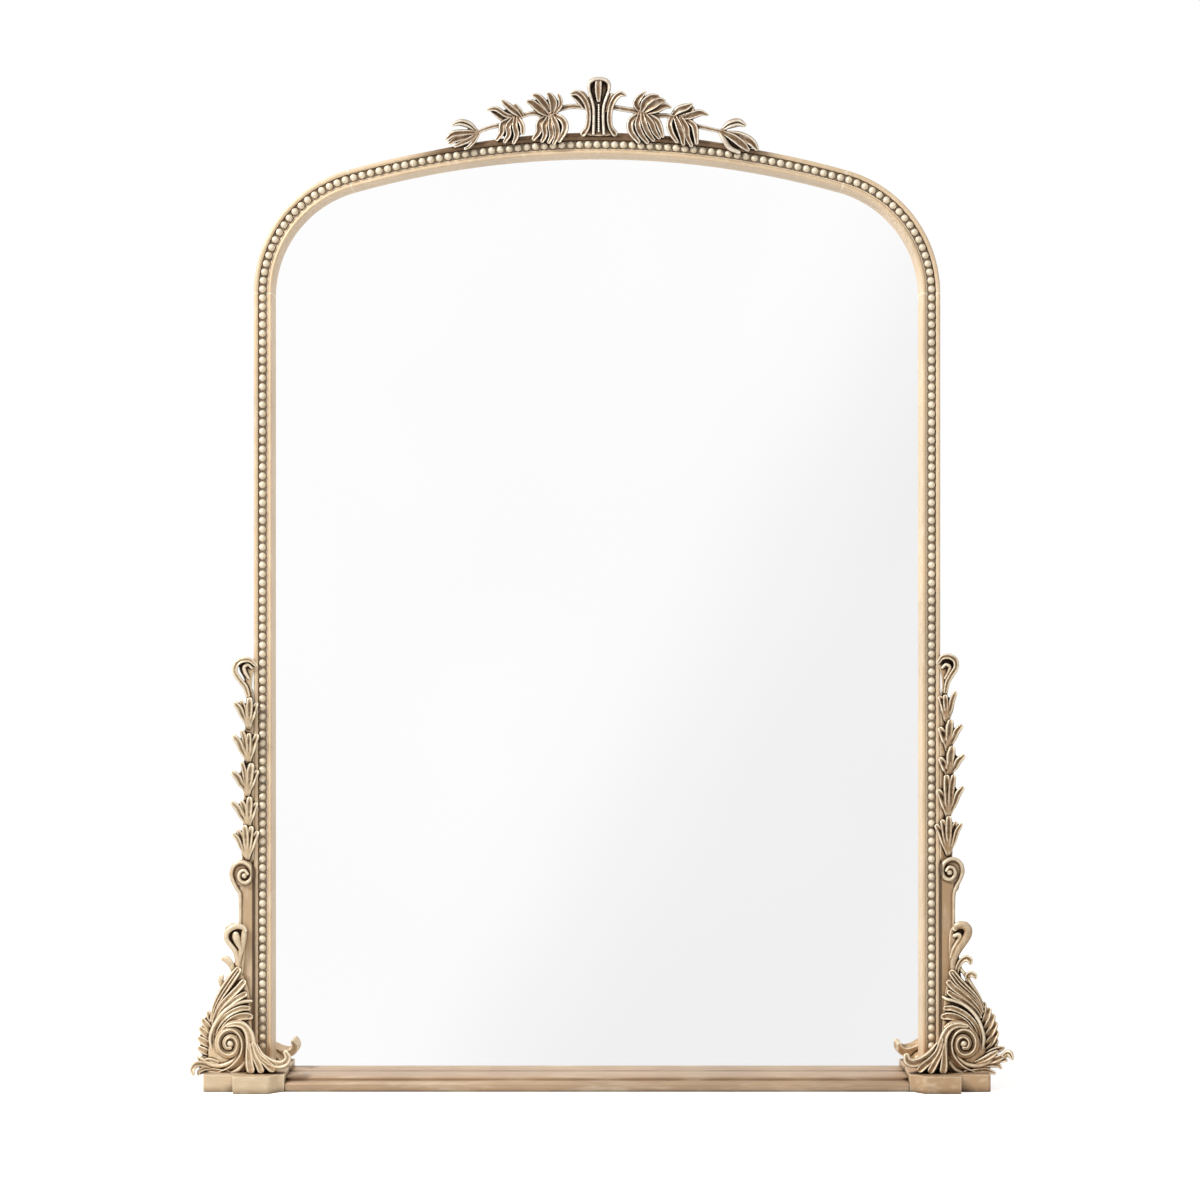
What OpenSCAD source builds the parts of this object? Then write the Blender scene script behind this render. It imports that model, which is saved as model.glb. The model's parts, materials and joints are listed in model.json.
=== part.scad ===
// Arched overmantel mirror with a beaded gilt frame, a leafy crest and scroll brackets.
// Front faces -Y, the back lies toward +Y, and the pedestals stand on Z = 0.

/* [Opening] */
// Width of the mirror that shows between the stiles
sight_w = 582; // [520:1:660]
// Height of the inside of the arch above the base
arch_top = 835; // [780:1:880]
// Radius of the shallow crown of the arch
crown_r = 810; // [700:5:1100]
// Radius of each shoulder, where the arch turns down into a stile
shoulder_r = 98; // [85:1:125]

/* [Frame moulding] */
// Width of the moulding seen from the front
frame_w = 16.5; // [16.5:0.5:24]
// Depth of the moulding from front to back
frame_d = 22; // [18:0.5:30]
// Width of the rounded lip beside the glass
lip_w = 3.6; // [2.5:0.1:4.5]
// Rise of the rounded lips above their flanks
lip_rise = 1.4; // [0.8:0.1:2]
// Width of the small groove between the lip and the beads
groove_w = 1.4; // [1:0.1:2]
// Depth of that groove
groove_deep = 2; // [1:0.1:3]
// Width of the channel that holds the beads
channel_w = 7.4; // [7:0.1:8]
// Depth of the bead channel below the front of the moulding
channel_deep = 5.2; // [4.2:0.1:5.8]
// How far the moulding overlaps the edge of the glass
rebate_w = 6.5; // [5:0.1:7.5]

/* [Beads] */
// Diameter of one bead
bead_d = 6.6; // [5:0.1:6.9]
// Distance from one bead to the next
bead_pitch = 7.9; // [7.4:0.1:10]
// Thickness of the strip that the beads are cast on
bead_strip_t = 1.4; // [1:0.1:2]
// Height above the pedestal at which the stile beads start
bead_start = 17; // [10:1:30]

/* [Glass and backing] */
// Thickness of the mirror glass
glass_t = 4; // [3:0.5:6]
// Thickness of the backing board
board_t = 3; // [2.5:0.5:6]
// Clearance round the edge of the glass and the board
glass_gap = 0.5; // [0.3:0.1:1]

/* [Base] */
// Height of each pedestal
pedestal_h = 15.3; // [13:0.1:24]
// Depth from the pedestals' front to the back of the mouldings; the pedestals reach on to the wall
pedestal_d = 58; // [52:1:75]
// How far each pedestal reaches in past the edge of the opening
pedestal_in = 14; // [12:0.5:18]
// How far each pedestal reaches out past the edge of the opening
pedestal_out = 58; // [54:1:75]
// Width of the front break-out of each pedestal
breakout_w = 29; // [22:1:32]
// How far the break-out stands before the rest of the pedestal
breakout_d = 10; // [6:0.5:14]
// Height of the base rail between the pedestals
rail_h = 11.2; // [10:0.1:13]
// Height of the lower step of the base rail
rail_step_h = 8; // [6:0.1:9]
// How far the lower step stands before the front of the moulding
rail_step_d = 25; // [20:0.5:28]
// How far the upper step stands before the front of the moulding
rail_top_d = 13; // [8:0.5:17]

/* [Pilasters and drops] */
// Width of each pilaster strip, with its sunk fillet
pilaster_w = 14.5; // [12:0.5:20]
// Width of the sunk fillet beside the stile
fillet_w = 1.6; // [1:0.1:3]
// How far the sunk fillet lies behind the front of the moulding
fillet_deep = 9; // [5:0.5:12]
// How far the pilaster stands before the front of the moulding
pilaster_rise = 5; // [3:0.5:8]
// Height of the volute's centre above the pedestal
volute_h = 178; // [170:1:230]
// Radius of the volute
volute_r = 13.2; // [11:0.1:16]
// Height of the plain stem between the volute and the lowest husk
stem_h = 7.5; // [5:0.5:12]
// Height of the husk drop, from the lowest husk to the top of the fifth
drop_h = 143; // [120:1:170]
// Height of the small scroll above the husks
loop_h = 32; // [26:1:40]
// Thickness of the strip behind the husks
drop_strip_t = 14; // [10:0.5:18]

/* [Ornament] */
// Height of the scroll bracket, from the pedestal to the top of its hook
bracket_h = 137; // [120:1:150]
// Thickness of the scroll bracket behind its raised ridges
bracket_d = 24; // [18:0.5:30]
// How far the scroll bracket stands before the front of the moulding
bracket_rise = 17; // [14:0.5:22]
// How far the spiral stands before the bracket's other ridges
spiral_rise = 2; // [1:0.5:3]
// How far the foot leaf stands before the spiral
foot_leaf_rise = 6.5; // [6.5:0.5:8]
// Height of the foot leaf above the pedestal
foot_leaf_h = 44; // [38:1:50]
// How far ridges stand before the ground of the carving
ridge_h = 4; // [2:0.5:6]
// Rise of the crest rail above the crown of the arch
crest_rise = 3; // [2:0.5:6]
// Half the length of the crest rail
crest_half = 150; // [130:1:180]
// Height of the palmette above the crest rail
palmette_h = 50.5; // [40:0.5:60]
// Length of each leafy spray along the crest
spray_w = 132; // [110:1:150]
// Thickness of the leafwork on the crest behind its raised ridges
spray_d = 9; // [6:0.5:12]

/* [Rear hardware] */
// Thickness of the wall bumpers
bumper_t = 4.5; // [4.3:0.1:8]
// Diameter of the wall bumpers
bumper_d = 9; // [7:0.5:10]
// Shank diameter of the small screws
screw_d = 3; // [2.5:0.1:3.5]
// Head diameter of the small screws
screw_head_d = 5.6; // [5:0.1:6]
// Length of the small screws below their heads
screw_len = 11; // [8:0.5:12]
// Thickness of the turn buttons
button_t = 1.4; // [1:0.1:1.6]
// Width of the turn buttons
button_w = 8.5; // [7.5:0.1:9]
// Length of the turn buttons
button_len = 24; // [20:0.5:28]
// Clearance between a turn button and what it lies against
button_gap = 0.3; // [0.2:0.05:0.4]
// Radial clearance of a turn button on its screw
turn_fit = 0.05; // [0.03:0.01:0.09]
// Length of the plates across the seams with the crown
seam_plate_len = 30; // [24:1:32]
// Thickness of the joining plates
plate_t = 1.5; // [1:0.1:2]
// Length of each shoulder plate
plate_len = 70; // [60:1:90]
// Width of the joining plates
plate_w = 7; // [6.5:0.1:8]
// Height of the hanger straps' screws above the pedestal
hanger_h = 560; // [480:5:620]
// Thickness of the hanger straps
strap_t = 0.8; // [0.6:0.1:1]
// Width of the hanger straps
strap_w = 8; // [7:0.1:9]
// Wire diameter of the D-rings
ring_wire_d = 2; // [1.8:0.1:2.2]
// Inside width of the D-rings
ring_in_w = 11; // [10:0.5:14]
// Length of the D-rings from the bar to the bow
ring_len = 13; // [11:0.5:15]
// Radial clearance of the D-ring's bar in its strap
ring_fit = 0.06; // [0.03:0.01:0.09]
// Clearance between the D-ring and the strap that it swings over
ring_gap = 0.3; // [0.2:0.05:0.4]

/* [Wood joints] */
// Diameter of the dowels
dowel_d = 5; // [4:0.5:6]
// Length of each dowel
dowel_len = 24; // [18:1:28]
// Shank diameter of the pedestal screws
pedestal_screw_d = 4; // [3.5:0.1:4.5]
// Length of the pedestal screws
pedestal_screw_len = 38; // [30:1:50]
// Diameter of the steel pins that hold the crest
pin_d = 2; // [1.5:0.1:2.5]
// Clearance round screws, dowels and pins in their holes
hole_gap = 0.05; // [0.02:0.01:0.1]

/* [Hidden] */

gilt = [0.76, 0.65, 0.5];
gilt_dark = [0.5, 0.41, 0.31];
gilt_pale = [0.86, 0.77, 0.62];
steel = [0.62, 0.63, 0.65];
eps = 0.01;

// Ground of a carving beyond its strokes, ridge inside them, and the slits and necks that are taken out
ground_extra = 0.8;
ridge_inset = 0.8;
slit = 0.15;
// Room between a carving and what it is set against
carving_gap = 0.3;

// Depths, from the front of the pedestals to the wall
front_y = -(pedestal_d + bumper_t) / 2;
back_y = front_y + pedestal_d;
wall_y = back_y + bumper_t;
frame_y = back_y - frame_d;
rebate_d = glass_t + board_t;
glass_y = back_y - rebate_d;
bead_top_y = frame_y + channel_deep - bead_d;
carving_y = min(bead_top_y, frame_y) - carving_gap;

// Widths
half = sight_w / 2;
out_x = half + frame_w;
pedestal_x = half - pedestal_in;
land_x = half + (rebate_w + frame_w) / 2;

// The volute, and the foot of the strip and of the husks above it
volute_in = 9.5;
volute_x = out_x + volute_in;
volute_z = pedestal_h + volute_h;
strip_z = volute_z + volute_r;
drop_z = strip_z + stem_h;
// The ridge of the volute: its outer and inner radius, its first and last angle, and its widths
VOLUTE_SPAN = [volute_r - 1.2, 3];
VOLUTE_TURN = [330, -150];
VOLUTE_W = [2, 3];

// Moulding bands, measured outward from the edge of the opening
channel_u = lip_w + groove_w;
bead_u = channel_u + channel_w / 2;
strip_w = channel_w - 0.4;

// The arch: one crown arc and two shoulder arcs that meet it smoothly
crown_z = arch_top - crown_r;
shoulder_x = half - shoulder_r;
shoulder_z = crown_z + sqrt(pow(crown_r - shoulder_r, 2) - pow(shoulder_x, 2));
join_a = acos(shoulder_x / (crown_r - shoulder_r));

// The crest rail: a thin crescent on the crown
arch_out_r = crown_r + frame_w;
crest_end_z = crown_z + sqrt(pow(arch_out_r, 2) - pow(crest_half, 2));
crest_sagitta = arch_top + frame_w + crest_rise - crest_end_z;
crest_r = (pow(crest_half, 2) + pow(crest_sagitta, 2)) / (2 * crest_sagitta);
crest_z = arch_top + frame_w + crest_rise;

// The drawn heights of the carvings, which the named heights scale
BRACKET_DRAWN = 138.5;
FOOT_LEAF_DRAWN = 44;
DROP_DRAWN = 143;
LOOP_DRAWN = 32;
PALMETTE_DRAWN = 50.5;
SPRAY_DRAWN = 132;

// Carving strokes. Each point is across, up and the width of the stroke there.
// Bracket strokes start at the stile's outer face and the top of the pedestal.
SCROLL_EYE = [19, 26];
SCROLL_DISC_R = 17;
// The scroll's outer and inner radius, the angles at which it starts and ends, and its widths
SCROLL_SPAN = [23, 2.5];
SCROLL_TURN = [290, -200];
SCROLL_W = [4.5, 4];
BRACKET_FANS = [
    [[39, 28, 4], [38, 40, 5], [33, 51, 6], [24, 61, 6], [13, 65, 5], [0, 66, 2]],
    [[35, 30, 4], [34, 42, 5], [28, 52, 6], [18, 60, 6], [3, 61, 4]],
    [[30, 42, 4], [25, 50, 6], [14, 54, 7], [1, 51, 6]],
    [[37, 54, 4], [29, 66, 5], [19, 78, 6], [9, 93, 6]],
    [[36, 52, 4], [27, 64, 5], [16, 74, 6], [5, 84, 6]],
    [[34, 50, 4], [25, 61, 5], [15, 67, 6], [5, 74, 6]],
    [[36, 62, 4], [25, 81, 6], [15, 95, 6], [10, 108, 5], [14, 114, 4], [20, 121, 5],
        [25, 129, 5], [23, 135, 5], [17, 136.5, 4], [10, 133, 4]],
    [[15, 92, 5], [16, 100, 4], [21, 104, 5], [25, 101, 5], [24, 98, 3]],
    [[24, 82, 5], [21, 88, 4], [23, 91, 5], [28, 90, 5], [30, 87, 3]]
];
BRACKET_EDGE = [
    [[37, 42, 4], [41, 54, 5], [38, 64, 3]],
    [[38, 36, 5], [43, 47, 6], [45, 57, 3]],
    [[39, 30, 5], [45, 39, 6], [48, 49, 3]],
    [[39, 24, 5], [46, 31, 6], [49, 40, 3]],
    [[24, 8, 5], [38, 13, 7], [48, 20, 8], [54, 23, 6]],
    [[40, 13, 5], [52, 15, 5], [58, 20, 5], [61, 17, 4], [62, 11, 2]],
    [[30, 4, 6], [42, 7, 6], [51, 7, 3]],
    [[6, 2, 4], [20, 2, 4], [34, 2, 4], [45, 2, 4]]
];
BRACKET_BODY = [[0, 0], [45, 0], [44, 28], [39, 52], [27, 80], [16, 90], [9, 80], [2, 62]];
// Foot leaf strokes use the same place as the bracket's
FOOT_LEAF = [
    [[3, 43, 3], [0, 30, 6], [-6, 15, 6], [-19, 2, 5]],
    [[4, 40, 4], [1, 27, 6], [-4, 13, 6], [-13, 1, 5]],
    [[4, 38, 4], [2, 24, 6], [-1, 11, 6], [-7, 0.5, 5]],
    [[5, 36, 4], [4, 22, 6], [3, 11, 6], [-1, 0.5, 5]],
    [[6, 32, 4], [7, 20, 6], [7, 10, 6], [5, 1, 5]],
    [[-4, 20, 6], [-14, 9, 6], [-25, 6, 6], [-32, 12, 5], [-29, 20, 2]]
];
// Widths of the strip behind the husks and of the stem, the stem's place, and how far it laps the husks
HUSK_STRIP_W = 10;
STEM_W = 8;
STEM_IN = 4;
STEM_LAP = 3;
// Husk drop strokes start at the stile's outer face and the foot of the lowest husk
HUSKS = [
    [[9, 0, 5], [8, 12, 7], [8, 28, 4]],
    [[7, 2, 4], [3, 12, 6], [-2, 23, 3]],
    [[8, 2, 4], [5, 14, 5], [2, 25, 3]],
    [[10, 2, 4], [11, 14, 5], [10, 26, 3]],
    [[10, 4, 4], [14, 14, 6], [20, 24, 4]],
    [[9, 32, 5], [8, 50, 7], [6, 66, 4]],
    [[7, 34, 5], [3, 44, 7], [0, 54, 5]],
    [[11, 34, 4], [12, 52, 6], [11, 66, 3]],
    [[12, 38, 4], [15, 46, 6], [21, 54, 6]],
    [[9, 64, 5], [10, 80, 8], [11, 92, 4]],
    [[7, 64, 4], [4, 72, 6], [2, 80, 5]],
    [[13, 66, 4], [16, 76, 6], [21, 84, 5]],
    [[10, 88, 5], [9, 102, 8], [9, 115, 6]],
    [[6, 90, 4], [3, 98, 7], [1, 106, 6]],
    [[12, 96, 4], [15, 103, 6], [20, 110, 5]],
    [[8, 112, 5], [6, 126, 6], [4, 138, 5]],
    [[4, 116, 3], [1, 126, 5], [0, 136, 4]],
    [[9, 116, 5], [11, 129, 5], [14, 138, 5], [19, 138, 3.5]]
];
DROP_SCROLL = [
    [[6, -1, 4], [8, 5, 4.5], [13, 12, 5], [17, 19, 5], [16, 27, 5], [10, 30, 5], [3, 29, 5], [-1, 23, 3]],
    [[5, 10, 3], [9, 17, 3.5], [6, 21, 3.5], [2, 18, 3]]
];
// Crest strokes start at the middle of the arch and the top of the crest rail
PALMETTE = [
    [[-1, -2, 5], [-1, 14, 4], [-3, 28, 5], [-8, 40, 6], [-6, 48, 4], [0, 49, 3]],
    [[1, -2, 5], [1, 14, 4], [3, 28, 5], [8, 40, 6], [6, 48, 4], [0, 49, 3]],
    [[0, 2, 4], [0, 24, 4], [0, 46, 5]],
    [[-8, -2, 7], [-7, 12, 4], [-9, 26, 5], [-15, 35, 5], [-23, 34, 3]],
    [[8, -2, 7], [7, 12, 4], [9, 26, 5], [15, 35, 5], [23, 34, 3]],
    [[-6, 12, 4], [-8, 20, 4], [-14, 28, 4], [-22, 28, 2]],
    [[6, 12, 4], [8, 20, 4], [13, 30, 4], [20, 31, 3]]
];
PALMETTE_BODY = [[-7, -2], [7, -2], [6, 22], [10, 38], [6, 48], [-6, 48], [-10, 38], [-6, 22]];
LEFT_SPRAY = [
    [[-8, 23, 4], [-32, 25, 4.5], [-54, 17, 4.5], [-80, 10, 4.5], [-108, 2, 4.5]],
    [[-38, 16, 4], [-49, 22, 6], [-62, 28, 4]],
    [[-40, 16, 4], [-46, 27, 6], [-57, 36, 4]],
    [[-41, 16, 4], [-42, 26, 7], [-46, 37, 4]],
    [[-41, 16, 4], [-36, 26, 6], [-37, 36, 3]],
    [[-43, 16, 4], [-53, 5, 5], [-60, -6, 4]],
    [[-43, 16, 4], [-46, 2, 5], [-50, -8, 4]],
    [[-42, 16, 4], [-42, 2, 5], [-43, -9, 4]],
    [[-40, 16, 4], [-36, 2, 5], [-38, -10, 4]],
    [[-38, 18, 4], [-28, 10, 5], [-31, -2, 5], [-36, -8, 3]],
    [[-70, 14, 4], [-85, 18, 5], [-100, 21, 3]],
    [[-68, 15, 4], [-80, 22, 6], [-87, 30, 4]],
    [[-68, 15, 4], [-72, 22, 6], [-76, 27, 4]],
    [[-76, 14, 4], [-88, 2, 5], [-90, -6, 3]],
    [[-74, 14, 4], [-81, 0, 5], [-83, -8, 3]],
    [[-73, 14, 4], [-72, 0, 5], [-74, -8, 3]],
    [[-70, 13, 4], [-66, 4, 5], [-70, -3, 4]],
    [[-106, 2, 4], [-116, 11, 6], [-125, 11, 6], [-132, 6, 3]],
    [[-108, 1, 4], [-124, 1, 6], [-136, -6, 4]],
    [[-108, 0, 4], [-118, -5, 6], [-126, -10, 3]],
    [[-107, -1, 4], [-112, -9, 5], [-118, -14, 3]]
];
RIGHT_SPRAY = [
    [[8, 24, 4], [31, 20, 4.5], [58, 15, 4.5], [84, 6, 4.5], [110, 1, 4.5]],
    [[37, 18, 4], [34, 26, 6], [40, 36, 4]],
    [[38, 18, 4], [43, 28, 8], [51, 34, 5]],
    [[40, 18, 4], [50, 26, 9], [57, 28, 5]],
    [[42, 17, 4], [54, 21, 7], [65, 22, 3]],
    [[36, 18, 4], [27, 8, 5], [29, -3, 6], [37, -8, 3]],
    [[37, 18, 4], [36, 4, 6], [44, -9, 4]],
    [[40, 18, 4], [43, 3, 6], [50, -8, 4]],
    [[42, 17, 4], [50, 6, 6], [55, -5, 4]],
    [[46, 17, 4], [57, 8, 5], [58, -1, 3]],
    [[66, 15, 4], [76, 22, 7], [84, 25, 5]],
    [[72, 13, 4], [86, 17, 7], [98, 17, 3]],
    [[66, 14, 4], [63, 3, 6], [70, -9, 3]],
    [[70, 14, 4], [74, 2, 6], [77, -10, 3]],
    [[76, 13, 4], [82, 1, 6], [84, -10, 3]],
    [[80, 12, 4], [89, 2, 6], [89, -8, 3]],
    [[108, 1, 4], [116, 10, 6], [124, 11, 7], [130, 7, 4]],
    [[108, 1, 4], [116, -6, 6], [127, -17, 4]],
    [[110, 0, 5], [124, -5, 8], [134, -16, 5]],
    [[112, 0, 4], [130, -3, 7], [141, -13, 4]]
];

// Smooth curve through hand-placed points, with the width carried along
function curve(p, n = 4) = [
    for (i = [0 : len(p) - 2], j = [0 : n - 1])
        let (t = j / n,
            a = p[max(i - 1, 0)],
            b = p[i],
            c = p[i + 1],
            d = p[min(i + 2, len(p) - 1)])
        (2 * b + (c - a) * t + (2 * a - 5 * b + 4 * c - d) * t * t
            + (3 * b - a - 3 * c + d) * t * t * t) / 2,
    p[len(p) - 1]
];

// Spiral whose radius, angle and width each go from a first to a last value in n steps
function spiral(centre, span, turn, width, n) = [
    for (i = [0 : n])
        let (t = i / n, r = span[0] + (span[1] - span[0]) * t, a = turn[0] + (turn[1] - turn[0]) * t)
        [centre.x + r * cos(a), centre.y + r * sin(a), width[0] + (width[1] - width[0]) * t]
];

// One side of a stroke: k is 1 for the left side and -1 for the right side
function side_point(s, i, k) =
    let (a = s[max(i - 1, 0)], b = s[min(i + 1, len(s) - 1)], m = norm([b.x - a.x, b.y - a.y]))
    [s[i].x - k * (b.y - a.y) / m * s[i].z / 2, s[i].y + k * (b.x - a.x) / m * s[i].z / 2];

// A stroke as a flat ribbon, wider by extra on each side
module ribbon(s, extra = 0) {
    wide = [for (p = s) [p.x, p.y, p.z + 2 * extra]];
    last = len(wide) - 1;
    polygon([
        for (i = [0 : last]) side_point(wide, i, 1),
        for (i = [last : -1 : 0]) side_point(wide, i, -1)
    ]);
    translate([wide[last].x, wide[last].y]) circle(d = wide[last].z, $fn = 10);
}

// All strokes of a carving, joined into one flat shape without slits or thin necks
module strokes(list, extra = 0) {
    offset(delta = slit)
        offset(delta = -2 * slit)
            offset(delta = slit)
                for (p = list) ribbon(curve(p), extra);
}

// A flat shape in the XZ plane, from y_back forward by t
module slab(y_back, t) {
    translate([0, y_back, 0])
        rotate([90, 0, 0])
            linear_extrude(t) children();
}

// A carving in two levels: the ground, and narrower ridges that stand before it
module relief(list, y_back, y_front, body = []) {
    slab(y_back, y_back - y_front - ridge_h) {
        strokes(list, ground_extra);
        if (len(body) > 0) polygon(body);
    }
    slab(y_front + ridge_h + eps, ridge_h + eps) strokes(list, -ridge_inset);
}

// Points of a dome from u0 to u1, standing rise above d0
function dome(u0, u1, d0, rise, n = 6) = [
    for (i = [0 : n])
        let (a = 180 - 180 * i / n)
        [(u0 + u1) / 2 + (u1 - u0) / 2 * cos(a), d0 + rise * sin(a)]
];

// Outline of the opening, grown outward by t and cut off flat at the height foot
function opening(t, foot) = concat(
    [[half + t, foot]],
    [for (i = [0 : 16]) let (a = join_a * i / 16)
        [shoulder_x + (shoulder_r + t) * cos(a), shoulder_z + (shoulder_r + t) * sin(a)]],
    [for (i = [1 : 23]) let (a = join_a + (180 - 2 * join_a) * i / 24)
        [(crown_r + t) * cos(a), crown_z + (crown_r + t) * sin(a)]],
    [for (i = [16 : -1 : 0]) let (a = join_a * i / 16)
        [-shoulder_x - (shoulder_r + t) * cos(a), shoulder_z + (shoulder_r + t) * sin(a)]],
    [[-half - t, foot]]
);

// Section of the moulding: across from the opening, and forward from the back
moulding_points = concat(
    [[rebate_w, 0], [rebate_w, rebate_d], [0, rebate_d]],
    dome(0, lip_w, frame_d - lip_rise, lip_rise),
    [[lip_w, frame_d - groove_deep], [channel_u, frame_d - groove_deep]],
    [[channel_u, frame_d - channel_deep], [channel_u + channel_w, frame_d - channel_deep]],
    dome(channel_u + channel_w, frame_w, frame_d - lip_rise, lip_rise),
    [[frame_w, 0]]
);

// Sweeps children, drawn across and forward, up a stile on the right
module up_stile(z0, z1) {
    translate([half, back_y, z0])
        linear_extrude(z1 - z0)
            mirror([0, 1]) children();
}

// Sweeps children, drawn across and forward, round the crown of the arch
module round_crown() {
    translate([0, back_y, crown_z])
        rotate([90, 0, 0])
            rotate([0, 0, join_a])
                rotate_extrude(angle = 180 - 2 * join_a, $fn = 256)
                    translate([crown_r, 0]) children();
}

// Sweeps children, drawn across and forward, round the shoulder on the right
module round_shoulder() {
    translate([shoulder_x, back_y, shoulder_z])
        rotate([90, 0, 0])
            rotate_extrude(angle = join_a, $fn = 96)
                translate([shoulder_r, 0]) children();
}

// A cylinder along +Y that starts at the given point
module bar_y(p, d, len) {
    translate(p) rotate([-90, 0, 0]) cylinder(d = d, h = len, $fn = 32);
}

// A cylinder along +X that starts at the given point
module bar_x(p, d, len) {
    translate(p) rotate([0, 90, 0]) cylinder(d = d, h = len, $fn = 32);
}

// A pan-head screw driven forward from a surface at the given point
module small_screw(p, len = screw_len) {
    bar_y([p.x, p.y - len, p.z], screw_d, len + eps);
    bar_y(p, screw_head_d, screw_head_h);
}

// The hole that a small screw needs, from its surface point forward
module screw_hole(p, len = screw_len) {
    bar_y([p.x, p.y - len, p.z], screw_d + 2 * hole_gap, len + eps);
}

// Both sides: side is 1 for the right and -1 for the left
module on_side(side) {
    mirror([side < 0 ? 1 : 0, 0, 0]) children();
}

// Places on the back
screw_head_h = 1.2;
button_low_h = 110;
button_mid_h = 340;
button_top_drop = 70;
button_heights = [pedestal_h + button_low_h, pedestal_h + button_mid_h, shoulder_z - button_top_drop];
button_places = [
    for (z = button_heights) [land_x, z, 180],
    for (z = button_heights) [-land_x, z, 0]
];
crown_button_a = 78;
land_r = crown_r + land_x - half;
crown_button_places = [
    for (a = [crown_button_a, 180 - crown_button_a])
        [land_r * cos(a), crown_z + land_r * sin(a), 180 - a]
];
plate_screw_in = 6;
plate_screw_step = plate_len / 2 - plate_screw_in;
// The part of a shoulder plate that lies above the seam, as a share of its length
plate_above = 0.25;
// Screws of a shoulder plate, as shares of that step from the seam
plate_screw_shares = [-1, -0.35, 0.175, 0.5];
// Screws of a plate across the seam with the crown, as shares of half its length
seam_screw_shares = [-0.7, 0.7];
hanger_z = pedestal_h + hanger_h;
// Screws of a hanger strap, below its bar and clear of the hanging ring
strap_hole_drop = 6;
strap_hole_step = 10;
strap_end = 5;
strap_hole_1 = ring_len + strap_hole_drop;
strap_hole_2 = strap_hole_1 + strap_hole_step;
strap_len = strap_hole_2 + strap_end;
shoulder_land_r = land_r - crown_r + shoulder_r;
bumper_a = 45;
bumper_low_h = 40;
bumper_low_z = pedestal_h + bumper_low_h;
bumper_high = [shoulder_x + shoulder_land_r * cos(bumper_a), shoulder_z + shoulder_land_r * sin(bumper_a)];
bumper_places = [
    [land_x, bumper_low_z], bumper_high,
    [-land_x, bumper_low_z], [-bumper_high.x, bumper_high.y]
];
// Each crest pin: across, and its height above its seat
crest_pin_places = [[0, 8], [-42, 6], [-72, 5], [43, 6], [74, 5]];
crest_pin_sunk = 8;
crest_pin_in = 7;
crest_pin_y = frame_y + crest_pin_in;
palmette_rise = 9;
spray_rise = 8;
// Fixings of the base: pedestal screws, rail dowels and bracket dowels
pilaster_mid_x = out_x + fillet_w + (pilaster_w - fillet_w) / 2;
stile_screw_in = 3;
pedestal_screw_places = [land_x - stile_screw_in, pilaster_mid_x];
pedestal_screw_y = frame_y + 0.36 * frame_d;
pedestal_screw_sunk = 0.5;
rail_dowel_front_in = 4;
rail_dowel_back_in = 8;
rail_dowel_places = [frame_y - rail_top_d + rail_dowel_front_in, glass_y - rail_dowel_back_in];
rail_dowel_lift = 0.5;
rail_dowel_z = rail_step_h / 2 + rail_dowel_lift;
bracket_dowel_low_h = 30;
bracket_dowel_step = 22;
bracket_dowel_heights = [
    pedestal_h + bracket_dowel_low_h, pedestal_h + bracket_dowel_low_h + bracket_dowel_step
];
bracket_dowel_back = 1;
bracket_dowel_y = frame_y + bracket_dowel_back;
bracket_dowel_in = 7;

// The hole of a shoulder plate's screw, s of a step above or below the seam
module plate_screw_hole(s) {
    screw_hole([land_x, back_y, shoulder_z + s * plate_screw_step]);
}

// A place along a seam plate, s of half its length from the seam toward the crown
function seam_place(s) = [
    shoulder_x + shoulder_land_r * cos(join_a) - s * seam_plate_len / 2 * sin(join_a),
    shoulder_z + shoulder_land_r * sin(join_a) + s * seam_plate_len / 2 * cos(join_a)
];

// The hole of a seam plate's screw
module seam_screw_hole(s) {
    screw_hole([seam_place(s).x, back_y, seam_place(s).y]);
}

module mirror_glass() {
    color([0.9, 0.92, 0.93])
        slab(glass_y + glass_t, glass_t)
            polygon(opening(rebate_w - glass_gap, rail_h - rebate_w));
}

module backing_board() {
    color([0.45, 0.33, 0.22])
        slab(back_y, board_t)
            polygon(opening(rebate_w - glass_gap, rail_h - rebate_w));
}

// Every screw hole that reaches the back of one stile
module stile_holes() {
    for (p = button_places) if (p.x > 0) screw_hole([p.x, back_y, p.y]);
    for (d = [strap_hole_1, strap_hole_2]) screw_hole([land_x, back_y, hanger_z - d]);
    for (s = plate_screw_shares) if (s < 0) plate_screw_hole(s);
    pedestal_screw_hole(pedestal_screw_places[0]);
}

module right_stile_shape() {
    color(gilt)
        difference() {
            up_stile(pedestal_h, shoulder_z) polygon(moulding_points);
            stile_holes();
        }
}

module arch_crown() {
    color(gilt)
        difference() {
            round_crown() polygon(moulding_points);
            for (p = crown_button_places) screw_hole([p.x, back_y, p.y]);
            for (side = [-1, 1], s = seam_screw_shares)
                if (s > 0) on_side(side) seam_screw_hole(s);
            crest_pin_set(pin_d + 2 * hole_gap);
        }
}

module right_arch_shoulder_shape() {
    color(gilt)
        difference() {
            round_shoulder() polygon(moulding_points);
            for (s = plate_screw_shares) if (s > 0) plate_screw_hole(s);
            for (s = seam_screw_shares) if (s < 0) seam_screw_hole(s);
        }
}

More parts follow.
